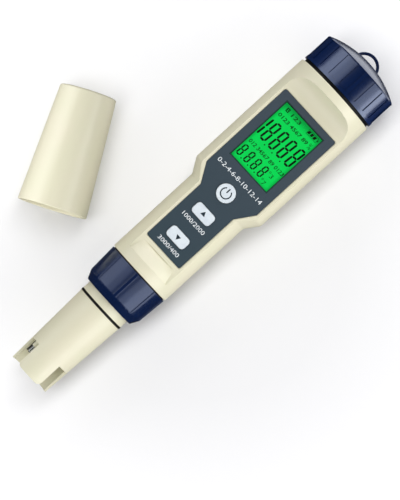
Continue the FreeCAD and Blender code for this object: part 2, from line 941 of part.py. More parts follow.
def contact_pins(start, end, radius):
    """Bars on the contact pin circle as one group."""
    pins = []
    for index in range(contact_pin_count):
        angle = 2 * math.pi * index / contact_pin_count
        pins.append(rod(start, end, radius, contact_pin_circle * math.sin(angle),
                        contact_pin_circle * math.cos(angle)))
    return Part.Compound(pins)


def make_probe_contact_pins():
    return contact_pins(spigot_end - contact_pin_root, spigot_end + contact_pin_length,
                        contact_pin_radius).Solids


def soft_ring(start, width, outer, inner):
    """A seal ring with a rounded outer edge."""
    ring = tube(start, start + width, outer, inner)
    edges = circles_at(ring, start, outer) + circles_at(ring, start + width, outer)
    return ring.makeFillet(width / 3, edges)


def make_probe_o_ring():
    return soft_ring(sleeve_length, o_ring_width, o_ring_radius,
                     o_ring_radius - o_ring_depth)


def make_module_o_ring():
    return soft_ring(spigot_start + module_ring_offset, module_ring_width,
                     lower_neck_bore - ring_gap, spigot_radius - module_ring_depth)


def make_probe_sleeve():
    cone = turned([(0, 0), (0, sleeve_tip_radius), (sleeve_length, neck_radius),
                   (sleeve_length, 0)])
    bore = rod(-overlap, sleeve_length + overlap, probe_bore_radius)
    slots = []
    for hand in (-1, 1):
        sides = sorted([hand * tongue_half_width, hand * far])
        slots.append(block(-overlap, slot_length, sides[0], sides[1], 0, far))
    # Only the corners at the tip are rounded, so the cut stops short of the other two.
    tongue = block(-far, slot_length, -tongue_half_width, tongue_half_width, 0, far)
    rounded = rounded_plate(0, 2 * slot_length, tongue_half_width, tongue_corner, 0, far)
    return cone.cut([bore, tongue.cut(rounded)] + slots)


def make_sensor_carrier():
    face = rod(slot_length, carrier_end, core_radius)
    boss = rod(slot_length - thermistor_boss_length, slot_length,
               thermistor_boss_radius, thermistor_side, thermistor_height)
    seats = [rod(slot_length - overlap, slot_length + stem_depth,
                 bulb_stem_radius + seal_gap)]
    for side in (-cell_pin_side, cell_pin_side):
        seats.append(rod(slot_length - overlap, slot_length + sensor_root,
                         cell_pin_radius + seal_gap, side, -cell_pin_drop))
    seats.append(rod(slot_length - far, slot_length, thermistor_radius + seal_gap,
                     thermistor_side, thermistor_height))
    seats.append(rod(slot_length - overlap, slot_length + sensor_root,
                     rod_radius + seal_gap, rod_side, rod_height))
    seats.append(rod(slot_length - overlap, slot_length + sensor_root,
                     junction_radius + seal_gap, 0, -junction_drop))
    return face.fuse(boss).cut(seats)


def round_tipped_pin(tip, end, radius, side, height):
    """A pin along the tester whose tip is half a ball."""
    ball = Part.makeSphere(radius, point(tip + radius, side, height))
    return rod(tip + radius, end, radius, side, height).fuse(ball).removeSplitter()


def make_glass_bulb():
    ball = Part.makeSphere(bulb_radius, point(bulb_tip_station + bulb_radius, 0, 0))
    stem = rod(bulb_tip_station + bulb_radius, slot_length + stem_depth, bulb_stem_radius)
    return ball.fuse(stem).removeSplitter()


def make_conductivity_pins():
    return [round_tipped_pin(cell_pin_tip_station, slot_length + sensor_root,
                             cell_pin_radius, side, -cell_pin_drop)
            for side in (-cell_pin_side, cell_pin_side)]


def make_temperature_probe():
    return round_tipped_pin(thermistor_tip_station, slot_length, thermistor_radius,
                            thermistor_side, thermistor_height)


def make_reference_rod():
    return rod(rod_tip_station, slot_length + sensor_root, rod_radius,
               rod_side, rod_height)


def make_reference_junction():
    return rod(slot_length - junction_rise, slot_length + sensor_root,
               junction_radius, 0, -junction_drop)


# Socket that the probe module plugs into, and its ribbon to the board
def make_probe_socket():
    disc = rod(socket_start, cavity_start, socket_radius)
    return disc.cut(contact_pins(socket_start - overlap,
                                 spigot_end + contact_pin_length + sliding_gap,
                                 contact_pin_radius + sliding_gap))


def make_probe_ribbon():
    half = socket_radius / 2
    low = board_bottom - strap_thickness
    end = board_start + ledge_inset
    return block(cavity_start, end, -half, half, low, board_bottom)


# Protective cap, which lies on its side beside the tester
def make_protective_cap():
    outer = turned([(0, 0), (0, cup_mouth_radius), (cup_length, cup_end_radius),
                    (cup_length, 0)])
    outer = outer.makeFillet(cup_end_round,
                             circles_at(outer, cup_length, cup_end_radius))
    inner = turned([(cup_mouth_depth, 0),
                    (cup_mouth_depth, o_ring_radius + sliding_gap),
                    (cup_length - cup_end_wall, sleeve_tip_radius + cup_tip_clearance),
                    (cup_length - cup_end_wall, 0)])
    mouth = rod(-overlap, cup_mouth_depth, collar_base_radius + cup_mouth_gap)
    cup = outer.cut([inner, mouth])
    lean = math.degrees(math.atan((cup_mouth_radius - cup_end_radius) / cup_length))
    cup.rotate(point(0, 0, 0), sideways, lean)
    cup.rotate(point(0, 0, 0), upright, cup_turn)
    rise = cup_mouth_radius * math.cos(math.radians(lean)) - axis_height
    cup.translate(point(cup_mouth_station, cup_mouth_side, rise))
    return cup


pieces = {
    "housing": make_housing,
    "panel_overlay": make_panel_overlay,
    "lcd_window": make_lcd_window,
    "lcd_glass": make_lcd_glass,
    "lcd_frame": make_lcd_frame,
    "backlight_plate": make_backlight_plate,
    "zebra_connectors": make_zebra_connectors,
    "main_board": make_main_board,
    "board_components": make_board_components,
    "tact_switches": make_tact_switches,
    "key_mat": make_key_mat,
    "key_tray": make_key_tray,
    "battery_bay": make_battery_bay,
    "bay_contacts": make_bay_contacts,
    "battery_cartridge": make_battery_cartridge,
    "battery_cells": make_battery_cells,
    "cell_contacts": make_cell_contacts,
    "battery_cap": make_battery_cap,
    "cap_gasket": make_cap_gasket,
    "collar_nut": make_collar_nut,
    "collar_gasket": make_collar_gasket,
    "probe_body": make_probe_body,
    "probe_contact_pins": make_probe_contact_pins,
    "probe_o_ring": make_probe_o_ring,
    "module_o_ring": make_module_o_ring,
    "probe_sleeve": make_probe_sleeve,
    "sensor_carrier": make_sensor_carrier,
    "glass_bulb": make_glass_bulb,
    "conductivity_pins": make_conductivity_pins,
    "temperature_probe": make_temperature_probe,
    "reference_rod": make_reference_rod,
    "reference_junction": make_reference_junction,
    "probe_socket": make_probe_socket,
    "probe_ribbon": make_probe_ribbon,
    "protective_cap": make_protective_cap,
}
for key_name in key_outlines:
    pieces[key_name + "_key"] = lambda name=key_name: make_key(name)
    pieces[key_name + "_switch_plunger"] = lambda name=key_name: make_switch_plunger(name)


def save(name, shape):
    """Moves a piece, or a group of like pieces, to the rest face frame and saves it."""
    if isinstance(shape, list):
        shape = Part.Compound(shape)
    shape.translate(point(-rest_station, 0, axis_height))
    print(name, len(shape.Solids), "valid" if shape.isValid() else "NOT VALID",
          round(shape.Volume, 1))
    shape.exportStep("parts/" + name + ".step")


os.makedirs("parts", exist_ok=True)
for piece_name, make in pieces.items():
    save(piece_name, make())
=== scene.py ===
"""A handheld water quality tester on a white table, with its probe cap taken off beside it."""

import json
import logging
import math
from dataclasses import dataclass, field
from enum import Enum

import bmesh
import bpy
from bmesh.types import BMesh, BMVert
from bpy.types import Collection, Material, Node, NodeSocket, NodeTree, Object
from mathutils import Matrix, Vector


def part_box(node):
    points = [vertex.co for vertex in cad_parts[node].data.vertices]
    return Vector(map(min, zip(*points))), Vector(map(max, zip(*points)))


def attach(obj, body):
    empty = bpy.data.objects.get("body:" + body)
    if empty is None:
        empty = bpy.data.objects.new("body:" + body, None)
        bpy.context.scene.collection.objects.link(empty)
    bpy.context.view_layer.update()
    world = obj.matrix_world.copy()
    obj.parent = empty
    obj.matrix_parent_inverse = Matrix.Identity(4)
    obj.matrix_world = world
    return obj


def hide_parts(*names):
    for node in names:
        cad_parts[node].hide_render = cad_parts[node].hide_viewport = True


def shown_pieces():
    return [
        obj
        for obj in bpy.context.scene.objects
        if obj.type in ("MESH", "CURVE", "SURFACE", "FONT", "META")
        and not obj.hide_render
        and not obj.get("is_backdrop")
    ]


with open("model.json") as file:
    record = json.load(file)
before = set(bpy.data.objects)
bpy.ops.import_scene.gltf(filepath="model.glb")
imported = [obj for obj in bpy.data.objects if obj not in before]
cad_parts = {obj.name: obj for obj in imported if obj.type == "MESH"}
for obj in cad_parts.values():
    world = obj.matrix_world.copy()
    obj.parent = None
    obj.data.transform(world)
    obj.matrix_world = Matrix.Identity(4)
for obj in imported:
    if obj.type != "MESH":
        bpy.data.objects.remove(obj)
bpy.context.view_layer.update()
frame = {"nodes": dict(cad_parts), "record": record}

MM = 0.001
AXIS_HEIGHT = 18.9 * MM
# Corners of a copied node that are nearer than this are one, and flatter edges go.
WELD = 0.002 * MM
FLAT = math.radians(0.3)
# Where the surface turns by more than this, it has an edge.
SHARP = math.radians(30)
# Nearly all of a noise's values lie between these two.
NOISE_LOW = 0.3
NOISE_HIGH = 0.7
# How far the battery cap and the collar nut travel in one turn.
CAP_LEAD_MM = 3.0
COLLAR_LEAD_MM = 2.5
log = logging.getLogger("tester")
# A place on a sheet, a width and a height, or the two ends of a band.
Pair = tuple[float, float]
# What feeds a node's input: a socket, or a node by its first output.
Feed = Node | NodeSocket
# Values or feeds, by the input's name or number.
Inputs = dict[str | int, object]


def linear(hex_colour: str) -> tuple[float, float, float, float]:
    """Turns an sRGB hex colour into linear light.

    Args:
        hex_colour: a colour such as "#e2dcc4".

    Returns:
        Red, green, blue and an alpha of 1.
    """
    channels = [int(hex_colour[i:i + 2], 16) / 255 for i in (1, 3, 5)]
    red, green, blue = [c / 12.92 if c <= 0.04045 else ((c + 0.055) / 1.055) ** 2.4
                        for c in channels]
    return red, green, blue, 1.0


def add_node(tree: NodeTree, kind: str, inputs: Inputs | None = None,
             **settings: object) -> Node:
    """Adds a shader node with its settings and links.

    Args:
        tree: the node tree that it goes in.
        kind: the node's type name, without the ShaderNode that all start with.
        inputs: what its inputs are set to or fed with.
        settings: the node's own attributes.

    Returns:
        The new node.
    """
    node = tree.nodes.new("ShaderNode" + kind)
    for name, value in settings.items():
        setattr(node, name, value)
    for name, value in (inputs or {}).items():
        value = value.outputs[0] if isinstance(value, Node) else value
        if isinstance(value, NodeSocket):
            tree.links.new(value, node.inputs[name])
        else:
            node.inputs[name].default_value = value
    return node


def two_tones(tree: NodeTree, pattern: Feed, first: str, second: str,
              band: Pair = (0.0, 1.0)) -> NodeSocket:
    """Goes from one colour to another as a pattern rises.

    Args:
        tree: the node tree.
        pattern: the pattern's value.
        first: the hex colour where it is low.
        second: the hex colour where it is high.
        band: the values between which the colour changes.

    Returns:
        The colour.
    """
    share = add_node(tree, "MapRange", {
        "Value": pattern, "From Min": band[0], "From Max": band[1]})
    # A mix of colours has them at its inputs 6 and 7, and its own colour at output 2.
    mixed = add_node(tree, "Mix", {
        0: share, 6: linear(first), 7: linear(second)}, data_type="RGBA")
    return mixed.outputs[2]


def grained(tree: NodeTree, pattern: Feed, least: float, most: float,
            height_mm: float) -> Inputs:
    """Lets a fine pattern vary the gloss and raise the surface.

    Args:
        tree: the node tree.
        pattern: the pattern's value.
        least: the roughness where it is low.
        most: the roughness where it is high.
        height_mm: how high it stands.

    Returns:
        What feeds the shader's roughness and normal.
    """
    gloss = add_node(tree, "MapRange", {
        "Value": pattern, "From Min": NOISE_LOW, "From Max": NOISE_HIGH,
        "To Min": least, "To Max": most})
    bump = add_node(tree, "Bump", {"Height": pattern, "Distance": height_mm * MM})
    return {"Roughness": gloss, "Normal": bump}


class Slot(Enum):
    """The record's material slots."""

    IVORY = "ivory_plastic"
    NAVY = "navy_plastic"
    OVERLAY = "overlay_film"
    WINDOW = "clear_window"
    DISPLAY = "display_glass"
    KEY = "key_plastic"
    BLACK_RUBBER = "black_rubber"
    SILICONE = "grey_silicone"
    WHITE = "white_plastic"
    BLACK = "black_plastic"
    BOARD = "circuit_board"
    CHIP = "chip_plastic"
    STEEL = "steel"
    NICKEL = "nickel"
    GOLD = "gold"
    GLASS = "clear_glass"
    CERAMIC = "ceramic"
    RIBBON = "ribbon_film"


@dataclass(frozen=True)
class Finish:
    """What all finishes share: a material made once and found by its name."""

    name: str
    slot: Slot

    def material(self) -> Material:
        """Makes the finish as a node material on its first use.

        Returns:
            The material.
        """
        made = bpy.data.materials.get(self.name)
        if made:
            return made
        made = bpy.data.materials.new(self.name)
        made.use_nodes = True
        tree = made.node_tree
        tree.nodes.clear()
        place = add_node(tree, "TexCoord").outputs["Object"]
        shader = add_node(tree, "BsdfPrincipled", self.surface(tree, place))
        add_node(tree, "OutputMaterial", {"Surface": shader})
        return made

    def surface(self, tree: NodeTree, place: NodeSocket) -> Inputs:
        """Adds what varies over the surface; each finish has its own.

        Args:
            tree: the material's node tree.
            place: the place on the piece.

        Returns:
            What feeds the shader.
        """
        raise NotImplementedError


@dataclass(frozen=True)
class MouldedPlastic(Finish):
    """Injection-moulded plastic or rubber.

    The spark-eroded mould leaves an even, fine matt grain that softens every
    highlight, and the melt sets with faint clouds of a second tone.
    """

    colour: str
    cloud_colour: str
    roughness: float = 0.42
    roughness_spread: float = 0.05
    ior: float = 1.53
    specular: float = 0.5
    # The real grain is near 0.1 mm; it is drawn coarser so that it shows at all.
    grain_mm: float = 0.55
    grain_height_mm: float = 0.012
    cloud_mm: float = 16.0
    cloud_band: Pair = (0.35, 0.65)
    sheen_colour: str = "#ffffff"

    def surface(self, tree: NodeTree, place: NodeSocket) -> Inputs:
        """Gives the plastic clouds of colour and a fine grain.

        Args:
            tree: the material's node tree.
            place: the place on the piece.

        Returns:
            What feeds the shader.
        """
        cloud = add_node(tree, "TexNoise", {
            "Vector": place, "Scale": 1 / (self.cloud_mm * MM), "Detail": 2.0})
        grain = add_node(tree, "TexNoise", {
            "Vector": place, "Scale": 1 / (self.grain_mm * MM), "Detail": 3.0})
        return {
            "Base Color": two_tones(tree, cloud, self.colour, self.cloud_colour,
                                    self.cloud_band),
            "IOR": self.ior, "Specular IOR Level": self.specular,
            "Specular Tint": linear(self.sheen_colour),
            **grained(tree, grain, self.roughness - self.roughness_spread,
                      self.roughness + self.roughness_spread, self.grain_height_mm)}


@dataclass(frozen=True)
class PrintedFilm(Finish):
    """Back-printed polycarbonate film.

    Its face is velvet-textured against glare, so it shows no sharp highlight, and its
    colour is drawn a little lighter and greyer towards the display end.
    """

    colour: str
    far_colour: str
    start_mm: float
    end_mm: float
    roughness: float = 0.5
    roughness_spread: float = 0.06
    ior: float = 1.58
    specular: float = 0.35
    # Velvet texture of 0.15 mm, drawn at 0.5 mm so that it shows.
    velvet_mm: float = 0.5
    velvet_height_mm: float = 0.008

    def surface(self, tree: NodeTree, place: NodeSocket) -> Inputs:
        """Gives the film a colour that changes slowly along the tester.

        Args:
            tree: the material's node tree.
            place: the place on the piece.

        Returns:
            What feeds the shader.
        """
        along = add_node(tree, "SeparateXYZ", {0: place}).outputs["X"]
        velvet = add_node(tree, "TexNoise", {
            "Vector": place, "Scale": 1 / (self.velvet_mm * MM), "Detail": 2.0})
        return {
            "Base Color": two_tones(tree, along, self.colour, self.far_colour,
                                    (self.start_mm * MM, self.end_mm * MM)),
            "IOR": self.ior, "Specular IOR Level": self.specular,
            **grained(tree, velvet, self.roughness - self.roughness_spread,
                      self.roughness + self.roughness_spread, self.velvet_height_mm)}


@dataclass(frozen=True)
class ScreenInk(Finish):
    """Screen-printed ink: a dense matt layer, a touch thinner in patches."""

    colour: str
    thin_colour: str
    patch_mm: float = 1.2
    patch_band: Pair = (0.4, 0.75)
    roughness: float = 0.6
    specular: float = 0.15

    def surface(self, tree: NodeTree, place: NodeSocket) -> Inputs:
        """Gives the ink thin patches.

        Args:
            tree: the material's node tree.
            place: the place on the piece.

        Returns:
            What feeds the shader.
        """
        patches = add_node(tree, "TexNoise", {
            "Vector": place, "Scale": 1 / (self.patch_mm * MM), "Detail": 3.0})
        return {
            "Base Color": two_tones(tree, patches, self.colour, self.thin_colour,
                                    self.patch_band),
            "Roughness": self.roughness, "Specular IOR Level": self.specular}


@dataclass(frozen=True)
class BacklitDisplay(Finish):
    """A liquid-crystal display over a green light guide.

    Its glow is painted darker at the head and, over a millimetre or two, at the
    other edges: painted shade from the rim of the opening round the glass.
    """

    colour: str
    shaded_glow_colour: str
    low_mm: Pair
    high_mm: Pair
    glass_colour: str = "#02160a"
    edge_shade_mm: float = 2.0
    head_shade_mm: float = 4.6
    # How much of the glow is left at the foot, the head and the sides, under the painted shade.
    foot_share: float = 0.45
    head_share: float = 0.0
    side_share: float = 0.3
    cloud_mm: float = 7.0
    cloud_band: Pair = (0.3, 0.55)
    cloud_share: float = 0.88
    glow: float = 1.08
    roughness: float = 0.3
    specular: float = 0.1

    def surface(self, tree: NodeTree, place: NodeSocket) -> Inputs:
        """Gives the dark glass a glow that is dimmer towards its edges.

        Args:
            tree: the material's node tree.
            place: the place on the piece.

        Returns:
            What feeds the shader.
        """
        parts = add_node(tree, "SeparateXYZ", {0: place})
        cloud = add_node(tree, "TexNoise", {
            "Vector": place, "Scale": 1 / (self.cloud_mm * MM), "Detail": 1.0})
        foot, right = self.low_mm
        head, left = self.high_mm
        # Each edge paints shade into the glow, where the opening's rim would shade the glass.
        edges = [(0, foot, foot + self.edge_shade_mm, self.foot_share),
                 (0, head, head - self.head_shade_mm, self.head_share),
                 (1, right, right + self.edge_shade_mm, self.side_share),
                 (1, left, left - self.edge_shade_mm, self.side_share)]
        share = add_node(tree, "MapRange", {
            "Value": cloud, "From Min": self.cloud_band[0],
            "From Max": self.cloud_band[1], "To Min": self.cloud_share})
        for axis, edge, inside, least in edges:
            painted_shade = add_node(tree, "MapRange", {
                "Value": parts.outputs[axis], "From Min": edge * MM,
                "From Max": inside * MM, "To Min": least},
                interpolation_type="SMOOTHSTEP")
            share = add_node(tree, "Math", {0: share, 1: painted_shade}, operation="MULTIPLY")
        return {
            "Base Color": linear(self.glass_colour), "Roughness": self.roughness,
            "Specular IOR Level": self.specular, "Emission Strength": self.glow,
            "Emission Color": two_tones(tree, share, self.shaded_glow_colour, self.colour)}


@dataclass(frozen=True)
class ClearWindow(Finish):
    """Polished clear acrylic: it shows what is under it, and a faint sheen."""

    tint: str = "#101814"
    wipe_mm: float = 2.5
    wipe_band: Pair = (0.4, 0.7)
    polished: float = 0.03
    wiped: float = 0.12
    ior: float = 1.49
    opacity: float = 0.08

    def surface(self, tree: NodeTree, place: NodeSocket) -> Inputs:
        """Gives the sheet hairline wipe marks in its gloss.

        Args:
            tree: the material's node tree.
            place: the place on the piece.

        Returns:
            What feeds the shader.
        """
        wipes = add_node(tree, "TexNoise", {
            "Vector": place, "Scale": 1 / (self.wipe_mm * MM), "Detail": 4.0})
        roughness = add_node(tree, "MapRange", {
            "Value": wipes, "From Min": self.wipe_band[0],
            "From Max": self.wipe_band[1], "To Min": self.polished, "To Max": self.wiped})
        return {
            "Base Color": linear(self.tint), "Roughness": roughness,
            "IOR": self.ior, "Alpha": self.opacity}


@dataclass(frozen=True)
class WorkedMetal(Finish):
    """Drawn, turned or plated metal, with fine lines from its tool or die."""

    colour: str
    line_colour: str
    roughness: float = 0.22
    line_mm: float = 0.25
    line_height_mm: float = 0.004
    # A line's width along the tester, as a share of its length across it.
    stretch: float = 0.12
    smoothest: float = 0.8
    roughest: float = 1.3

    def surface(self, tree: NodeTree, place: NodeSocket) -> Inputs:
        """Gives the metal fine lines across the tester's length.

        Args:
            tree: the material's node tree.
            place: the place on the piece.

        Returns:
            What feeds the shader.
        """
        stretched = add_node(tree, "Mapping", {
            "Vector": place, "Scale": (1.0, self.stretch, self.stretch)})
        lines = add_node(tree, "TexNoise", {
            "Vector": stretched, "Scale": 1 / (self.line_mm * MM), "Detail": 2.0})
        return {
            "Base Color": two_tones(tree, lines, self.colour, self.line_colour),
            "Metallic": 1.0,
            **grained(tree, lines, self.roughness * self.smoothest,
                      self.roughness * self.roughest, self.line_height_mm)}


@dataclass(frozen=True)
class BlownGlass(Finish):
    """Thin blown glass, clear with a faint green cast and a fire-polished skin."""

    tint: str = "#eef6f2"
    skin_mm: float = 3.0
    skin_height_mm: float = 0.02
    roughness: float = 0.04
    ior: float = 1.5
    clear: float = 0.85

    def surface(self, tree: NodeTree, place: NodeSocket) -> Inputs:
        """Gives the glass a slightly uneven skin.

        Args:
            tree: the material's node tree.
            place: the place on the piece.

        Returns:
            What feeds the shader.
        """
        skin = add_node(tree, "TexNoise", {
            "Vector": place, "Scale": 1 / (self.skin_mm * MM), "Detail": 1.0})
        bump = add_node(tree, "Bump", {
            "Height": skin, "Distance": self.skin_height_mm * MM})
        return {
            "Base Color": linear(self.tint), "Roughness": self.roughness, "IOR": self.ior,
            "Transmission Weight": self.clear, "Normal": bump}


@dataclass(frozen=True)
class SolderMask(Finish):
    """Glass-fibre board under green solder mask, with copper tracks that show through."""

    colour: str = "#12452b"
    track_colour: str = "#1f6a3c"
    track_mm: float = 1.3
    track_edge: Pair = (0.08, 0.12)
    track_height_mm: float = 0.03
    roughness: float = 0.3

    def surface(self, tree: NodeTree, place: NodeSocket) -> Inputs:
        """Gives the lacquer a paler, raised line where a track runs.

        Args:
            tree: the material's node tree.
            place: the place on the piece.

        Returns:
            What feeds the shader.
        """
        cells = add_node(tree, "TexVoronoi", {
            "Vector": place, "Scale": 1 / (self.track_mm * MM)},
            feature="DISTANCE_TO_EDGE", distance="MANHATTAN")
        track = add_node(tree, "MapRange", {
            "Value": cells, "From Min": self.track_edge[0],
            "From Max": self.track_edge[1], "To Min": 1.0, "To Max": 0.0})
        bump = add_node(tree, "Bump", {
            "Height": track, "Distance": self.track_height_mm * MM})
        return {
            "Base Color": two_tones(tree, track, self.colour, self.track_colour),
            "Roughness": self.roughness, "Normal": bump}


@dataclass(frozen=True)
class FlatCable(Finish):
    """Amber polyimide film with copper conductors side by side."""

    colour: str = "#8a4f18"
    copper_colour: str = "#d58a45"
    pitch_mm: float = 1.0
    roughness: float = 0.28

    def surface(self, tree: NodeTree, place: NodeSocket) -> Inputs:
        """Gives the film a conductor at every pitch across the tester.

        Args:
            tree: the material's node tree.
            place: the place on the piece.

        Returns:
            What feeds the shader.
        """
        # One wave is 2 pi over 20 units long at a scale of 1.
        stripes = add_node(tree, "TexWave", {
            "Vector": place, "Scale": math.pi / 10 / (self.pitch_mm * MM)},
            bands_direction="Y")
        return {
            "Base Color": two_tones(tree, stripes.outputs[1], self.colour,
                                    self.copper_colour),
            "Roughness": self.roughness}


IVORY_ABS = MouldedPlastic("ivory_abs_moulded_matt", Slot.IVORY, "#e0dbc2", "#dedbc0",
                           roughness=0.36, specular=0.8)
NAVY_ABS = MouldedPlastic("navy_abs_moulded_satin", Slot.NAVY, "#00163e", "#011a46",
                          roughness=0.24, roughness_spread=0.03, specular=1.0,
                          grain_height_mm=0.004, sheen_colour="#d3e1ff")
OVERLAY_FILM = PrintedFilm("overlay_polycarbonate_velvet", Slot.OVERLAY, "#2f414b",
                           "#3b4752", start_mm=-64.0, end_mm=15.0)
WHITE_INK = ScreenInk("white_screen_ink", Slot.OVERLAY, "#eef2f4", "#cdd5da")
BORDER_INK = ScreenInk("window_border_ink", Slot.OVERLAY, "#233b39", "#2c4543")
SLATE_INK = ScreenInk("slate_screen_ink", Slot.KEY, "#1d2a33", "#2a3740")
CRYSTAL_DARK = ScreenInk("crystal_segments_driven", Slot.DISPLAY, "#031f06", "#063010")
CRYSTAL_SMALL = ScreenInk("crystal_segments_small", Slot.DISPLAY, "#032e0c", "#053d14")
CRYSTAL_FAINT = ScreenInk("crystal_segments_faint", Slot.DISPLAY, "#055f22", "#066c28")
KEY_SILICONE = MouldedPlastic("key_silicone_coated_satin", Slot.KEY, "#dbe4ea", "#d2dbe3",
                              roughness=0.4, ior=1.43, grain_mm=0.4, cloud_mm=2.2)
GASKET_RUBBER = MouldedPlastic("gasket_nitrile_moulded", Slot.BLACK_RUBBER, "#060606",
                               "#0e0e0e", roughness=0.55, ior=1.52, specular=0.3)
# A foam seal, whose greenish black is also painted shade along the window opening's walls.
SEAL_FOAM_AND_SHADE = MouldedPlastic("window_seal_foam", Slot.BLACK_RUBBER, "#0d120e", "#171d18",
                           roughness=0.85, specular=0.1, grain_mm=0.35,
                           grain_height_mm=0.06)
KEY_MAT_SILICONE = MouldedPlastic("key_mat_silicone", Slot.SILICONE, "#8c8f92", "#84878a",
                                  roughness=0.5, ior=1.43)
STRIP_SILICONE = MouldedPlastic("contact_strip_silicone", Slot.SILICONE, "#5a5c60",
                                "#b9a8a0", roughness=0.6, ior=1.43, cloud_mm=0.4)
WHITE_ABS = MouldedPlastic("white_abs_moulded_satin", Slot.WHITE, "#e9e9e6", "#e1e2de",
                           roughness=0.35)
BLACK_ABS = MouldedPlastic("black_abs_moulded_matt", Slot.BLACK, "#18181a", "#202023",
                           roughness=0.45)
CHIP_EPOXY = MouldedPlastic("chip_epoxy_moulded", Slot.CHIP, "#1b1b1d", "#26262a",
                            roughness=0.6, grain_mm=0.3)
CERAMIC_FRIT = MouldedPlastic("junction_ceramic_porous", Slot.CERAMIC, "#efece2",
                              "#e0dccf", roughness=0.8, grain_mm=0.25,
                              grain_height_mm=0.05, cloud_mm=0.8)
PIN_STEEL = WorkedMetal("pin_stainless_ground", Slot.STEEL, "#c9ccd0", "#b2b5b9",
                        roughness=0.16)
CELL_STEEL = WorkedMetal("cell_steel_drawn", Slot.STEEL, "#c4c6c8", "#acaeb1",
                         roughness=0.28)
SPRING_NICKEL = WorkedMetal("contact_nickel_plated", Slot.NICKEL, "#bdb9af", "#a8a49a",
                            roughness=0.26)
PIN_GOLD = WorkedMetal("contact_gold_plated", Slot.GOLD, "#dcb65c", "#c49c44",
                       roughness=0.2)
WINDOW_ACRYLIC = ClearWindow("window_acrylic_polished", Slot.WINDOW)
BULB_GLASS = BlownGlass("bulb_glass_blown", Slot.GLASS)
BOARD_MASK = SolderMask("board_solder_mask", Slot.BOARD)
RIBBON_FILM = FlatCable("ribbon_polyimide", Slot.RIBBON)


def body_of_node(node: str) -> str:
    """The body that a CAD node rides on."""
    bodies = frame["record"]["behaviour"]["bodies"]
    return next(body for body, nodes in bodies.items() if node in nodes)


def add_piece(name: str, shape: BMesh, finish: Finish, body: str,
              replaced: tuple[str, ...] = (), edge_mm: float = 0.0) -> Object:
    """Makes a dressed piece of a shape and sets it on its body.

    Args:
        name: the piece's name.
        shape: its closed form in the row frame, in metres; it is used up.
        finish: what its surface is.
        body: the body that it rides on.
        replaced: the CAD nodes that it stands for.
        edge_mm: how far its sharp edges are broken, or 0.

    Returns:
        The piece.
    """
    mesh = bpy.data.meshes.new(name)
    shape.to_mesh(mesh)
    shape.free()
    mesh.materials.append(finish.material())
    mesh.shade_smooth()
    piece = bpy.data.objects.new(name, mesh)
    bpy.context.scene.collection.objects.link(piece)
    if edge_mm > 0:
        broken = piece.modifiers.new("broken_edges", "BEVEL")
        broken.width = edge_mm * MM
        broken.segments = 2
        broken.limit_method = "ANGLE"
        broken.angle_limit = SHARP
        weighed = piece.modifiers.new("weighed_normals", "WEIGHTED_NORMAL")
        weighed.mode = "FACE_AREA"
    else:
        mesh.set_sharp_from_angle(angle=SHARP)
    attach(piece, body)
    if replaced:
        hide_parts(*replaced)
    log.info("%s: %d faces on %s", name, len(mesh.polygons), body)
    return piece


@dataclass(frozen=True)
class MouldedCopy:
    """A smooth copy of a CAD node, with its edges broken as a mould leaves them."""

    node: str
    finish: Finish
    edge_mm: float

    def build(self) -> Object:
        """Merges the node's triangles into whole faces and dresses them.

        Returns:
            The piece that stands for the node.
        """
        shape = bmesh.new()
        shape.from_mesh(frame["nodes"][self.node].data)
        bmesh.ops.remove_doubles(shape, verts=shape.verts, dist=WELD)
        bmesh.ops.dissolve_limit(shape, angle_limit=FLAT, verts=shape.verts,
                                 edges=shape.edges)
        return add_piece(self.node + "_piece", shape, self.finish, body_of_node(self.node),
                         (self.node,), self.edge_mm)


@dataclass(frozen=True)
class ScrewThread:
    """A moulded right-hand thread about the tester's axis."""

    name: str
    body: str
    finish: Finish
    start_mm: float
    end_mm: float
    lead_mm: float
    wall_radius_mm: float
    # How far it stands out from the wall, or inwards where it is negative.
    depth_mm: float
    foot_mm: float = 1.0
    crest_mm: float = 0.45
    sink_mm: float = 0.08
    steps_per_turn: int = 72

    def build(self) -> Object:
        """Spins the ridge's section along its helix.

        Returns:
            The thread.
        """
        root = self.wall_radius_mm - math.copysign(self.sink_mm, self.depth_mm)
        crest = self.wall_radius_mm + self.depth_mm
        run_out = (self.foot_mm - self.crest_mm) / 2
        section = [(0, root), (self.foot_mm, root), (self.foot_mm - run_out, crest),
                   (run_out, crest)]
        turns = (self.end_mm - self.start_mm - self.foot_mm) / self.lead_mm
        steps = round(turns * self.steps_per_turn)
        shape = bmesh.new()
        corners = [shape.verts.new(((self.start_mm + along) * MM, 0, AXIS_HEIGHT + radius * MM))
                   for along, radius in section]
        face = shape.faces.new(corners)
        bmesh.ops.spin(shape, geom=[face], cent=(0, 0, AXIS_HEIGHT), axis=(1, 0, 0),
                       dvec=(self.lead_mm * turns / steps * MM, 0, 0),
                       angle=math.tau * turns, steps=steps)
        bmesh.ops.recalc_face_normals(shape, faces=shape.faces)
        return add_piece(self.name, shape, self.finish, self.body)


Parts = tuple[MouldedCopy | ScrewThread, ...]


@dataclass
class SubAssembly:
    """A part of the tester, and what it is made of in order."""

    parts: Parts = ()

    def build(self) -> None:
        """Makes its parts."""
        for part in self.parts:
            part.build()


def leaning(tangent: float) -> Matrix:
    """A shear that leans what stands upright to the right."""
    return Matrix(((1, tangent, 0, 0), (0, 1, 0, 0), (0, 0, 1, 0), (0, 0, 0, 1)))


def flat_box(width: float, height: float) -> BMesh:
    """Makes one flat face about the origin.

    Args:
        width: its size to the right.
        height: its size upwards.

    Returns:
        The face.
    """
    form = bmesh.new()
    # A grid's size is half its side, so this one's side is 1.
    bmesh.ops.create_grid(form, x_segments=1, y_segments=1, size=0.5)
    bmesh.ops.scale(form, vec=(width, height, 1), verts=form.verts)
    return form


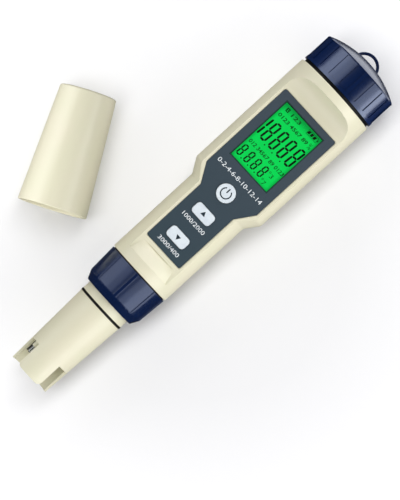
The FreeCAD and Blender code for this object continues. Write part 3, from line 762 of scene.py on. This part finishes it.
@dataclass
class Drawing:
    """Flat artwork in millimetres, which is then raised into a closed layer."""

    shape: BMesh = field(default_factory=bmesh.new)
    # Corners nearer than this become one before the sheet is raised.
    weld_mm: float = 0.0005
    ring_steps: int = 40
    # Numbers are drawn this large at first, and then fitted to their box.
    letter_size: float = 10.0

    def stamp(self, form: BMesh, centre: Pair, turned: Matrix = Matrix.Identity(4)) -> None:
        """Adds a form to the sheet and uses it up.

        Args:
            form: the form, about the origin.
            centre: where its origin goes.
            turned: what is done to it first.
        """
        form.transform(Matrix.Translation((centre[0], centre[1], 0)) @ turned)
        mesh = bpy.data.meshes.new("stamp")
        form.to_mesh(mesh)
        form.free()
        self.shape.from_mesh(mesh)
        bpy.data.meshes.remove(mesh)

    def bar(self, centre: Pair, size: Pair,
            cut: float = 0.0, turned: Matrix = Matrix.Identity(4)) -> None:
        """Draws a bar.

        Args:
            centre: where its middle is.
            size: its width and height before it is turned.
            cut: how far its corners are cut off.
            turned: how it is turned, shifted or leant about that middle.
        """
        form = flat_box(*size)
        if cut > 0:
            bmesh.ops.bevel(form, geom=form.verts[:], offset=cut, segments=1,
                            affect="VERTICES", profile=0.5, material=-1)
        self.stamp(form, centre, turned)

    def disc(self, centre: Pair, radius: float, corners: int, turn_deg: float = 0.0) -> None:
        """Draws a disc, or a regular shape with few corners.

        Args:
            centre: where its middle is.
            radius: from there to its corners.
            corners: how many it has.
            turn_deg: the turn.
        """
        form = bmesh.new()
        bmesh.ops.create_circle(form, cap_ends=True, segments=corners, radius=radius)
        self.stamp(form, centre, Matrix.Rotation(math.radians(turn_deg), 4, "Z"))

    def ring(self, centre: Pair, radius: float, stroke: float,
             start_deg: float = 0.0, sweep_deg: float = 360.0) -> None:
        """Draws a ring or part of one.

        Args:
            centre: where its middle is.
            radius: from there to the middle of the stroke.
            stroke: how wide the stroke is.
            start_deg: where it starts, from the right.
            sweep_deg: how far it goes round.
        """
        form = bmesh.new()
        form.edges.new([form.verts.new((radius + side * stroke / 2, 0, 0)) for side in (-1, 1)])
        bmesh.ops.rotate(form, verts=form.verts,
                         matrix=Matrix.Rotation(math.radians(start_deg), 3, "Z"))
        bmesh.ops.spin(form, geom=form.verts[:] + form.edges[:], cent=(0, 0, 0), axis=(0, 0, 1),
                       angle=math.radians(sweep_deg), steps=self.ring_steps,
                       use_merge=sweep_deg >= 360)
        self.stamp(form, centre)

    def frame(self, centre: Pair, size: Pair, stroke: float) -> None:
        """Draws an outlined box.

        Args:
            centre: where its middle is.
            size: its width and height outside.
            stroke: how wide its outline is.
        """
        form = flat_box(*size)
        inside = form.faces[:]
        bmesh.ops.inset_region(form, faces=inside, thickness=stroke, use_boundary=True,
                               use_even_offset=True)
        bmesh.ops.delete(form, geom=inside, context="FACES")
        self.stamp(form, centre)

    def numbers(self, words: str, centre: Pair, size: Pair,
                slant: float = 0.0, weight: float = 0.0) -> None:
        """Draws plain numbers that fill a box.

        Args:
            words: the digits.
            centre: the middle of the box.
            size: the box's width and height.
            slant: how far the digits lean, as a tangent.
            weight: how far their strokes grow before the digits are fitted to the box.
        """
        curve = bpy.data.curves.new("numbers", "FONT")
        curve.body = words
        curve.size = self.letter_size
        curve.resolution_u = 3
        curve.offset = weight
        holder = bpy.data.objects.new("numbers", curve)
        form = bmesh.new()
        mesh = bpy.data.meshes.new_from_object(holder)
        form.from_mesh(mesh)
        bpy.data.meshes.remove(mesh)
        bpy.data.objects.remove(holder)
        bpy.data.curves.remove(curve)
        across = [v.co.x for v in form.verts]
        up = [v.co.y for v in form.verts]
        middle = Matrix.Translation((-(min(across) + max(across)) / 2,
                                     -(min(up) + max(up)) / 2, 0))
        scale = Matrix.Diagonal((size[0] / (max(across) - min(across)),
                                 size[1] / (max(up) - min(up)), 1, 1))
        self.stamp(form, centre, leaning(slant) @ scale @ middle)

    def raised(self, name: str, centre: Vector, thickness_mm: float, finish: Finish,
               body: str) -> Object:
        """Raises the drawing into a layer and sets it on its body.

        Args:
            name: the piece's name.
            centre: the drawing's centre in the row frame, on the surface under it.
            thickness_mm: how thick the layer is.
            finish: what its surface is.
            body: the body that it rides on.

        Returns:
            The piece.
        """
        bmesh.ops.remove_doubles(self.shape, verts=self.shape.verts, dist=self.weld_mm)
        raised = bmesh.ops.extrude_face_region(self.shape, geom=self.shape.faces[:],
                                               use_keep_orig=True)
        tops = [e for e in raised["geom"] if isinstance(e, BMVert)]
        bmesh.ops.translate(self.shape, vec=(0, 0, thickness_mm), verts=tops)
        bmesh.ops.recalc_face_normals(self.shape, faces=self.shape.faces)
        # Right on the panel is -Y in the row frame, and up is +X.
        self.shape.transform(Matrix(((0, MM, 0, centre.x), (-MM, 0, 0, centre.y),
                                     (0, 0, MM, centre.z), (0, 0, 0, 1))))
        return add_piece(name, self.shape, finish, body)


@dataclass
class Casing(SubAssembly):
    """The housing with its gaskets and the threads on its two necks."""

    parts: Parts = (
        MouldedCopy("housing", IVORY_ABS, edge_mm=0.15),
        MouldedCopy("cap_gasket", GASKET_RUBBER, edge_mm=0.2),
        MouldedCopy("collar_gasket", GASKET_RUBBER, edge_mm=0.1),
        ScrewThread("battery_neck_thread", "main_unit", IVORY_ABS, start_mm=31.6,
                    end_mm=37.3, lead_mm=CAP_LEAD_MM, wall_radius_mm=16.6, depth_mm=0.3),
        ScrewThread("probe_neck_thread", "main_unit", IVORY_ABS, start_mm=-87.0,
                    end_mm=-79.6, lead_mm=COLLAR_LEAD_MM, wall_radius_mm=12.5,
                    depth_mm=0.17))


@dataclass
class FrontPanel(SubAssembly):
    """The printed overlay, with plain numbers where the real one has words."""

    parts: Parts = (MouldedCopy("panel_overlay", OVERLAY_FILM, edge_mm=0.06),)
    layer_mm: float = 0.02
    # Each line's digits, its place along the tester, and its width and height in mm.
    lines: tuple[tuple[str, float, float, float], ...] = (
        ("0-2-4-6-8-10-12-14", -22.85, 24.8, 1.9), ("1000/2000", -47.85, 12.1, 1.75),
        ("3000/400", -61.35, 11.3, 1.75))

    def build(self) -> None:
        """Makes the overlay and prints it."""
        super().build()
        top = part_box("panel_overlay")[1].z
        sheet = Drawing()
        for words, along, width, height in self.lines:
            sheet.numbers(words, (0, along), (width, height))
        sheet.raised("panel_numbers", Vector((0, 0, top)), self.layer_mm, WHITE_INK,
                     "main_unit")


@dataclass(frozen=True)
class SevenSegments:
    """The shape of one display digit, which leans to the right, in millimetres."""

    width: float
    height: float
    stroke: float
    gap: float
    lean: float = math.tan(math.radians(5))
    # How much of the stroke's width is cut off a segment's corners.
    cut: float = 0.42

    def draw(self, sheet: Drawing, centre: Pair, lit: str = "abcdefg") -> None:
        """Draws the digit.

        Args:
            sheet: what it is drawn on.
            centre: the digit's middle.
            lit: which segments it has, a at the top and on clockwise, g in the middle.
        """
        right = (self.width - self.stroke) / 2
        top = (self.height - self.stroke) / 2
        across = self.width - self.stroke - self.gap
        down = top - self.gap
        places = {"a": (0, top, across, 0), "b": (right, top / 2, down, 90),
                  "c": (right, -top / 2, down, 90), "d": (0, -top, across, 0),
                  "e": (-right, -top / 2, down, 90), "f": (-right, top / 2, down, 90),
                  "g": (0, 0, across, 0)}
        for name in lit:
            x, y, length, turn = places[name]
            turned = (leaning(self.lean) @ Matrix.Translation((x, y, 0))
                      @ Matrix.Rotation(math.radians(turn), 4, "Z"))
            sheet.bar(centre, (length, self.stroke), self.stroke * self.cut, turned)


@dataclass(frozen=True)
class DisplayFace:
    """What the display shows, in millimetres right of and above the glass's middle."""

    big: SevenSegments = SevenSegments(width=3.2, height=9.7, stroke=0.88, gap=0.3)
    big_row: float = 2.31
    big_places: tuple[float, ...] = (-5.95, -1.27, 3.42, 8.1)
    one_place: float = -10.3
    big_points: tuple[float, ...] = (-3.9, 0.46, 5.04)
    big_point_drop: float = 5.25
    small: SevenSegments = SevenSegments(width=2.35, height=5.6, stroke=0.66, gap=0.2)
    small_row: float = -10.7
    small_places: tuple[float, ...] = (-8.4, -4.35, -0.5, 3.5)
    small_points: tuple[float, ...] = (-6.4, -2.54, 1.33)
    small_point_drop: float = 2.7
    point_radius: float = 0.3
    point_corners: int = 12
    # The battery's outline, the tip on it and the three leaning cells in it.
    battery: Pair = (6.45, 13.5)
    battery_size: Pair = (5.4, 2.2)
    battery_stroke: float = 0.13
    tip_shift: float = 2.95
    tip_size: Pair = (0.35, 0.9)
    cell_shift: float = -0.35
    cell_pitch: float = 1.55
    cell_size: Pair = (1.15, 1.4)
    cell_cut: float = 0.1
    cell_lean: float = 0.25
    # The hold mark at the upper left: a box with a bar in it.
    mark: Pair = (-7.7, 13.25)
    mark_size: Pair = (1.5, 1.8)
    mark_stroke: float = 0.38
    mark_bar: Pair = (0.9, 0.3)
    # The two degree rings beside the small digits, each with a plain digit after it.
    degrees: tuple[tuple[float, float, str], ...] = ((5.85, -8.7, "3"), (5.6, -12.7, "7"))
    degree_radius: float = 0.34
    degree_stroke: float = 0.16
    degree_digit_shift: Pair = (1.45, -0.85)
    degree_digit_size: Pair = (1.2, 1.8)
    # The faint rows: what they say, their middle and their size.
    legends: tuple[tuple[str, Pair, Pair], ...] = (
        ("123", (-2.75, 13.15), (5.0, 1.6)), ("0123 4567 89", (-1.0, 9.8), (16.6, 1.7)),
        ("012 34567 89 0123", (0.3, -5.85), (19.6, 1.75)))
    legend_weight: float = 0.22
    percent_place: Pair = (8.8, 9.8)
    percent_size: Pair = (1.5, 2.6)
    layer_mm: float = 0.03

    def build(self, centre: Vector) -> None:
        """Draws the segments on top of the display glass.

        Args:
            centre: the middle of the glass's upper face.
        """
        for name, draw, finish in (
                ("digits_large", self.draw_large, CRYSTAL_DARK),
                ("digits_small", self.draw_small, CRYSTAL_SMALL),
                ("display_legends", self.draw_legends, CRYSTAL_FAINT)):
            sheet = Drawing()
            draw(sheet)
            sheet.raised(name, centre, self.layer_mm, finish, "main_unit")

    def draw_large(self, sheet: Drawing) -> None:
        """Draws the upper digits and the battery's cells.

        Args:
            sheet: what they are drawn on.
        """
        self.big.draw(sheet, (self.one_place, self.big_row), "bc")
        for place in self.big_places:
            self.big.draw(sheet, (place, self.big_row))
        for step in (-1, 0, 1):
            middle = (self.battery[0] + self.cell_shift + self.cell_pitch * step,
                      self.battery[1])
            sheet.bar(middle, self.cell_size, self.cell_cut, leaning(self.cell_lean))

    def draw_small(self, sheet: Drawing) -> None:
        """Draws the lower digits, all points, the two marks and the degree rings.

        Args:
            sheet: what they are drawn on.
        """
        for place in self.small_places:
            self.small.draw(sheet, (place, self.small_row))
        for places, row in ((self.small_points, self.small_row - self.small_point_drop),
                            (self.big_points, self.big_row - self.big_point_drop)):
            for place in places:
                sheet.disc((place, row), self.point_radius, self.point_corners)
        sheet.frame(self.battery, self.battery_size, self.battery_stroke)
        sheet.bar((self.battery[0] + self.tip_shift, self.battery[1]), self.tip_size)
        sheet.frame(self.mark, self.mark_size, self.mark_stroke)
        sheet.bar(self.mark, self.mark_bar)
        right, up = self.degree_digit_shift
        for place, row, digit in self.degrees:
            sheet.ring((place, row), self.degree_radius, self.degree_stroke)
            sheet.numbers(digit, (place + right, row + up), self.degree_digit_size,
                          self.small.lean)

    def draw_legends(self, sheet: Drawing) -> None:
        """Draws the faint rows.

        Args:
            sheet: what they are drawn on.
        """
        for words, middle, size in self.legends:
            sheet.numbers(words, middle, size, self.small.lean, self.legend_weight)
        sheet.numbers("%", self.percent_place, self.percent_size)


@dataclass
class Display(SubAssembly):
    """The display with its light guide, its frame, its window and the seal round it."""

    parts: Parts = (
        MouldedCopy("lcd_frame", WHITE_ABS, edge_mm=0.08),
        MouldedCopy("backlight_plate", WHITE_ABS, edge_mm=0.1),
        MouldedCopy("zebra_connectors", STRIP_SILICONE, edge_mm=0.06),
        MouldedCopy("lcd_window", WINDOW_ACRYLIC, edge_mm=0.06))
    face: DisplayFace = DisplayFace()
    # The glow's colour, and its colour in the painted shade at the glass's edges.
    colour: str = "#0cdf58"
    shaded_glow_colour: str = "#0a9a3e"
    glass_edge_mm: float = 0.05
    # What the frame hides of the glass at its ends and its sides.
    glass_margin_mm: float = 1.6
    glass_side_margin_mm: float = 1.15
    seal_mm: float = 0.3
    # The window's flange, hidden under the overlay, and the printed border on its face.
    flange_mm: float = 1.3
    border_mm: float = 0.42
    border_overlap_mm: float = 0.3
    border_layer_mm: float = 0.03

    def build(self) -> None:
        """Makes the display stack, bottom to top."""
        low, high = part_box("lcd_glass")
        margin = Vector((self.glass_margin_mm, self.glass_side_margin_mm)) * MM
        view_low = low.xy + margin
        view_high = high.xy - margin
        glass = BacklitDisplay("display_backlit_green", Slot.DISPLAY, self.colour,
                               self.shaded_glow_colour, tuple(view_low / MM), tuple(view_high / MM))
        MouldedCopy("lcd_glass", glass, self.glass_edge_mm).build()
        super().build()
        centre = (low + high) / 2
        centre.z = high.z
        self.face.build(centre)
        self.window_seal(view_high - view_low, centre)
        self.window_border()

    def window_seal(self, size: Vector, foot: Vector) -> None:
        """Lines the window opening with a thin foam seal, whose near-black is also painted
        shade along the opening's walls.

        Args:
            size: the opening's size along and across the tester.
            foot: the seal's middle, on the display glass.
        """
        sheet = Drawing()
        sheet.frame((0, 0), (size.y / MM, size.x / MM), self.seal_mm)
        height_mm = (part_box("lcd_window")[0].z - foot.z) / MM
        sheet.raised("window_light_seal", foot, height_mm, SEAL_FOAM_AND_SHADE, "main_unit")

    def window_border(self) -> None:
        """Prints the dark border that hides the joint between window and overlay."""
        low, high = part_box("lcd_window")
        centre = (low + high) / 2
        grow = self.border_overlap_mm - self.flange_mm
        size = (high - low) / MM
        sheet = Drawing()
        sheet.frame((0, 0), (size.y + 2 * grow, size.x + 2 * grow), self.border_mm)
        sheet.raised("window_border", Vector((centre.x, centre.y, high.z)),
                     self.border_layer_mm, BORDER_INK, "main_unit")


class KeySymbol(Enum):
    """What is printed on a key."""

    POWER = "power"
    UP = "up"
    DOWN = "down"


@dataclass
class Keypad(SubAssembly):
    """The three keys with their printed symbols, and the mat, tray and switches below."""

    parts: Parts = (
        MouldedCopy("key_mat", KEY_MAT_SILICONE, edge_mm=0.1),
        MouldedCopy("key_tray", BLACK_ABS, edge_mm=0.1),
        MouldedCopy("tact_switches", BLACK_ABS, edge_mm=0.1))
    key_edge_mm: float = 0.08
    layer_mm: float = 0.02
    ring_radius_mm: float = 2.2
    ring_gap_deg: float = 70.0
    stroke_mm: float = 0.5
    bar_middle_mm: float = 1.35
    bar_length_mm: float = 2.1
    arrow_radius_mm: float = 1.3

    def build(self) -> None:
        """Makes the keys and what carries them."""
        for symbol in KeySymbol:
            self.build_key(symbol)
        super().build()

    def build_key(self, symbol: KeySymbol) -> None:
        """Makes one key with its plunger and its symbol.

        Args:
            symbol: which key it is.
        """
        node = symbol.value + "_key"
        MouldedCopy(node, KEY_SILICONE, self.key_edge_mm).build()
        MouldedCopy(symbol.value + "_switch_plunger", WHITE_ABS, self.key_edge_mm).build()
        low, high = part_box(node)
        print_on = Vector(((low.x + high.x) / 2, (low.y + high.y) / 2, high.z))
        sheet = Drawing()
        if symbol is KeySymbol.POWER:
            sheet.ring((0, 0), self.ring_radius_mm, self.stroke_mm,
                       90 + self.ring_gap_deg / 2, 360 - self.ring_gap_deg)
            sheet.bar((0, self.bar_middle_mm), (self.stroke_mm, self.bar_length_mm))
        else:
            turn_deg = 0 if symbol is KeySymbol.UP else 180
            sheet.disc((0, 0), self.arrow_radius_mm, 3, turn_deg)
        sheet.raised(symbol.value + "_symbol", print_on, self.layer_mm, SLATE_INK,
                     body_of_node(node))


@dataclass
class Electronics(SubAssembly):
    """The main board, the probe socket and the ribbon between them."""

    parts: Parts = (
        MouldedCopy("main_board", BOARD_MASK, edge_mm=0.05),
        MouldedCopy("board_components", CHIP_EPOXY, edge_mm=0.08),
        MouldedCopy("probe_socket", BLACK_ABS, edge_mm=0.12),
        MouldedCopy("probe_ribbon", RIBBON_FILM, edge_mm=0.03))


@dataclass
class BatteryPack(SubAssembly):
    """The battery bay, the cartridge that slides out of it, and the cells."""

    parts: Parts = (
        MouldedCopy("battery_bay", BLACK_ABS, edge_mm=0.15),
        MouldedCopy("bay_contacts", SPRING_NICKEL, edge_mm=0.06),
        MouldedCopy("battery_cartridge", WHITE_ABS, edge_mm=0.12),
        MouldedCopy("battery_cells", CELL_STEEL, edge_mm=0.25),
        MouldedCopy("cell_contacts", SPRING_NICKEL, edge_mm=0.04))


@dataclass
class ScrewCaps(SubAssembly):
    """The battery cap and the collar nut, both navy, ribbed and threaded inside."""

    parts: Parts = (
        MouldedCopy("battery_cap", NAVY_ABS, edge_mm=0.1),
        ScrewThread("battery_cap_thread", "cap", NAVY_ABS, start_mm=31.5, end_mm=37.6,
                    lead_mm=CAP_LEAD_MM, wall_radius_mm=17.2, depth_mm=-0.25),
        MouldedCopy("collar_nut", NAVY_ABS, edge_mm=0.2),
        ScrewThread("collar_nut_thread", "collar", NAVY_ABS, start_mm=-87.2, end_mm=-80.0,
                    lead_mm=COLLAR_LEAD_MM, wall_radius_mm=12.9, depth_mm=-0.17))


@dataclass
class ProbeModule(SubAssembly):
    """The plug-in probe: its body, slotted sleeve, seals and sensors."""

    parts: Parts = (
        MouldedCopy("probe_body", IVORY_ABS, edge_mm=0.15),
        MouldedCopy("probe_sleeve", IVORY_ABS, edge_mm=0.05),
        MouldedCopy("probe_o_ring", GASKET_RUBBER, edge_mm=0.05),
        MouldedCopy("module_o_ring", GASKET_RUBBER, edge_mm=0.05),
        MouldedCopy("sensor_carrier", IVORY_ABS, edge_mm=0.1),
        MouldedCopy("glass_bulb", BULB_GLASS, edge_mm=0.0),
        MouldedCopy("conductivity_pins", PIN_STEEL, edge_mm=0.0),
        MouldedCopy("temperature_probe", PIN_STEEL, edge_mm=0.0),
        MouldedCopy("reference_rod", BLACK_ABS, edge_mm=0.05),
        MouldedCopy("reference_junction", CERAMIC_FRIT, edge_mm=0.08),
        MouldedCopy("probe_contact_pins", PIN_GOLD, edge_mm=0.08))


@dataclass
class StorageCap(SubAssembly):
    """The tapered cup that covers the probe when it isn't in use."""

    parts: Parts = (MouldedCopy("protective_cap", IVORY_ABS, edge_mm=0.25),)


@dataclass(frozen=True)
class Lamp:
    """A long softbox beside the tester, which fills a band of its reflections."""

    name: str
    # Where its two long edges are seen from the tester, in degrees from straight up.
    zenith: Pair
    # The side that it stands on, in degrees from the cap end towards the left.
    azimuth: float
    length_mm: float
    radiance: float
    distance_mm: float = 500.0
    aim_mm: tuple[float, float, float] = (0.0, 0.0, 20.0)

    def build(self, lit: Collection, shading: Collection | None = None) -> None:
        """Makes the lamp and ties it to what it lights.

        Args:
            lit: what its light falls on.
            shading: what stands in its light, or None where everything does.
        """
        edges = [Vector((math.sin(math.radians(angle)), 0, math.cos(math.radians(angle))))
                 for angle in self.zenith]
        turn = Matrix.Rotation(math.radians(self.azimuth), 3, "Z")
        first, second = [turn @ edge * self.distance_mm * MM for edge in edges]
        light = bpy.data.lights.new(self.name, "AREA")
        light.shape = "RECTANGLE"
        light.size = self.length_mm * MM
        light.size_y = (first - second).length
        light.energy = self.radiance * math.pi * light.size * light.size_y
        lamp = bpy.data.objects.new(self.name, light)
        out = (first + second).normalized()
        up = (first - second).normalized()
        axes = Matrix((up.cross(out), up, out)).transposed()
        place = Vector(self.aim_mm) * MM + (first + second) / 2
        lamp.matrix_world = Matrix.Translation(place) @ axes.to_4x4()
        lamp.visible_camera = False
        bpy.context.scene.collection.objects.link(lamp)
        lamp.light_linking.receiver_collection = lit
        if shading:
            lamp.light_linking.blocker_collection = shading


# Each sub-assembly's tones come from lamps of its own, as flags and cards would give them.
# They aim at the tester's middle, at the battery cap's dome or at the protective cap.
DOME_MM = (45, 0, 19)
CUP_MM = (-55, 60, 15)
CAP_LAMPS = (
    Lamp("cap_right", (42, 72), -90, 700, 1.6),
    Lamp("cap_right_low", (72, 104), -90, 700, 3.9),
    Lamp("cap_left", (16, 40), 90, 700, 1.5),
    Lamp("cap_left_low", (40, 76), 90, 700, 2.3),
    Lamp("cap_end", (106, 148), 0, 500, 1.7, distance_mm=250, aim_mm=DOME_MM))
COLLAR_LAMPS = (
    Lamp("collar_right", (16, 42), -90, 700, 1.0),
    Lamp("collar_right_low", (42, 88), -90, 700, 1.9),
    Lamp("collar_left", (16, 40), 90, 700, 0.8),
    Lamp("collar_left_low", (40, 84), 90, 700, 1.25))
IVORY_LAMPS = (
    Lamp("right", (38, 80), -90, 900, 1.85),
    Lamp("right_high", (20, 38), -90, 900, 0.7),
    Lamp("left", (40, 80), 90, 900, 0.9),
    Lamp("head", (50, 80), 0, 900, 2.2),
    Lamp("foot", (30, 70), 180, 900, 0.75))
CUP_LAMPS = (
    Lamp("cup_right", (40, 60), -60, 500, 1.8, aim_mm=CUP_MM),
    Lamp("cup_right_low", (80, 110), -60, 500, 2.4, aim_mm=CUP_MM),
    Lamp("cup_left", (40, 80), 120, 500, 2.4, aim_mm=CUP_MM),
    Lamp("cup_left_low", (80, 110), 120, 500, 1.2, aim_mm=CUP_MM),
    Lamp("cup_foot", (30, 70), 210, 500, 3.5, aim_mm=CUP_MM))
TABLE_LAMPS = (
    Lamp("table_top", (2, 20), 90, 1800, 6.0, distance_mm=1500),
    Lamp("table_left_low", (45, 75), 90, 1800, 0.85, distance_mm=1500),
    Lamp("table_right_low", (45, 75), -90, 1800, 0.8, distance_mm=1500))


@dataclass
class Studio:
    """The white table, the lamps and the camera over it."""

    view_centre_mm: Pair = (-53.2, -9.63)
    view_height_mm: float = 200.5
    view_turn_deg: float = 42.5
    lens_mm: float = 250.0
    sensor_mm: float = 36.0
    far_clip_m: float = 20.0
    table_half_m: float = 2.5
    table_colour: str = "#e8e8ea"
    # The table's own glow, from near the middle of the view to far outside it; it is weaker
    # near the tester, which paints a shade round it.
    near_m: float = 0.06
    painted_shade_glow: float = 0.1
    far_m: float = 0.51
    far_glow: float = 1.0
    fill: float = 0.35
    fill_seen_in_gloss: float = 0.03

    def build(self) -> None:
        """Sets the studio round the finished tester."""
        self.table()
        self.world()
        self.lamps()
        self.camera()

    def camera(self) -> None:
        """Hangs the camera over the table with its up side turned to the photograph's."""
        camera = bpy.data.cameras.new("overhead_camera")
        camera.lens = self.lens_mm
        camera.sensor_width = self.sensor_mm
        camera.clip_end = self.far_clip_m
        distance = self.lens_mm / self.sensor_mm * self.view_height_mm * MM
        holder = bpy.data.objects.new("overhead_camera", camera)
        holder.matrix_world = (
            Matrix.Translation((self.view_centre_mm[0] * MM, self.view_centre_mm[1] * MM,
                                AXIS_HEIGHT + distance))
            @ Matrix.Rotation(-math.radians(self.view_turn_deg), 4, "Z"))
        bpy.context.scene.collection.objects.link(holder)
        bpy.context.scene.camera = holder

    def table(self) -> None:
        """Lays the table: white to the eye far out, with a painted shade round the tester, and
        it keeps the shadows.
        """
        sheet = bmesh.new()
        bmesh.ops.create_grid(sheet, x_segments=1, y_segments=1, size=self.table_half_m)
        mesh = bpy.data.meshes.new("table")
        sheet.to_mesh(mesh)
        sheet.free()
        material = bpy.data.materials.new("table_white")
        material.use_nodes = True
        tree = material.node_tree
        tree.nodes.clear()
        seen = add_node(tree, "LightPath")
        paint = add_node(tree, "BsdfDiffuse", {"Color": linear(self.table_colour)})
        where = add_node(tree, "TexCoord")
        middle = [place * MM for place in self.view_centre_mm] + [0.0]
        distance = add_node(tree, "VectorMath", {
            0: where.outputs["Object"], 1: middle}, operation="DISTANCE")
        # The glow rises away from the tester, so the table is painted darker round it.
        glow_past_painted_shade = add_node(tree, "MapRange", {
            "Value": distance.outputs["Value"], "From Min": self.near_m,
            "From Max": self.far_m, "To Min": self.painted_shade_glow, "To Max": self.far_glow})
        strength = add_node(tree, "Math", {
            0: seen.outputs["Is Camera Ray"], 1: glow_past_painted_shade}, operation="MULTIPLY")
        glow = add_node(tree, "Emission", {"Color": linear("#ffffff"), "Strength": strength})
        both = add_node(tree, "AddShader", {0: paint, 1: glow})
        add_node(tree, "OutputMaterial", {"Surface": both})
        mesh.materials.append(material)
        table = bpy.data.objects.new("table", mesh)
        bpy.context.scene.collection.objects.link(table)
        # Gloss sees the low lamps past the table, which stand for its bounce.
        table.visible_glossy = False
        table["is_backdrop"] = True

    def world(self) -> None:
        """Fills the shadows with dim light, and shows white to the camera."""
        world = bpy.data.worlds.new("studio")
        bpy.context.scene.world = world
        world.use_nodes = True
        tree = world.node_tree
        tree.nodes.clear()
        seen = add_node(tree, "LightPath")
        clear = add_node(tree, "Math", {
            0: seen.outputs["Is Camera Ray"], 1: seen.outputs["Is Transmission Ray"]},
            operation="MAXIMUM")
        strength = add_node(tree, "MapRange", {
            "Value": seen.outputs["Is Glossy Ray"], "To Min": self.fill,
            "To Max": self.fill_seen_in_gloss})
        dim = add_node(tree, "Background", {"Color": linear("#ffffff"), "Strength": strength})
        bright = add_node(tree, "Background", {"Color": linear("#ffffff"), "Strength": 1.0})
        mixed = add_node(tree, "MixShader", {0: clear, 1: dim, 2: bright})
        add_node(tree, "OutputWorld", {"Surface": mixed})

    def group(self, name: str, pieces: list[Object]) -> Collection:
        """Gathers pieces that are lit alike.

        Args:
            name: the group's name.
            pieces: the pieces.

        Returns:
            The group.
        """
        made = bpy.data.collections.new(name)
        for piece in pieces:
            made.objects.link(piece)
        return made

    def lamps(self) -> None:
        """Sets softboxes round each group of pieces, and over the table."""
        pieces = list(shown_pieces())
        cap, collar, cup = [[piece for piece in pieces if piece.name.startswith(start)]
                            for start in ("battery_cap", "collar_nut", "protective_cap")]
        ivory = [piece for piece in pieces if piece not in cap + collar + cup]
        shading = self.group("shading", pieces)
        for name, lit, lamps in (
                ("lit_cap", cap, CAP_LAMPS), ("lit_collar", collar, COLLAR_LAMPS),
                ("lit_ivory", ivory, IVORY_LAMPS), ("lit_cup", cup, CUP_LAMPS)):
            group = self.group(name, lit)
            for lamp in lamps:
                lamp.build(group, shading)
        table = self.group("lit_table", [bpy.data.objects["table"]])
        for lamp in TABLE_LAMPS:
            lamp.build(table)


def main() -> None:
    """Builds the tester part by part, then the studio round it."""
    logging.basicConfig(level=logging.INFO, format="%(name)s: %(message)s")
    bpy.context.scene.view_settings.view_transform = "Standard"
    for part in (Casing(), FrontPanel(), Display(), Keypad(), Electronics(), BatteryPack(),
                 ScrewCaps(), ProbeModule(), StorageCap()):
        part.build()
    Studio().build()


if __name__ == "__main__":
    main()
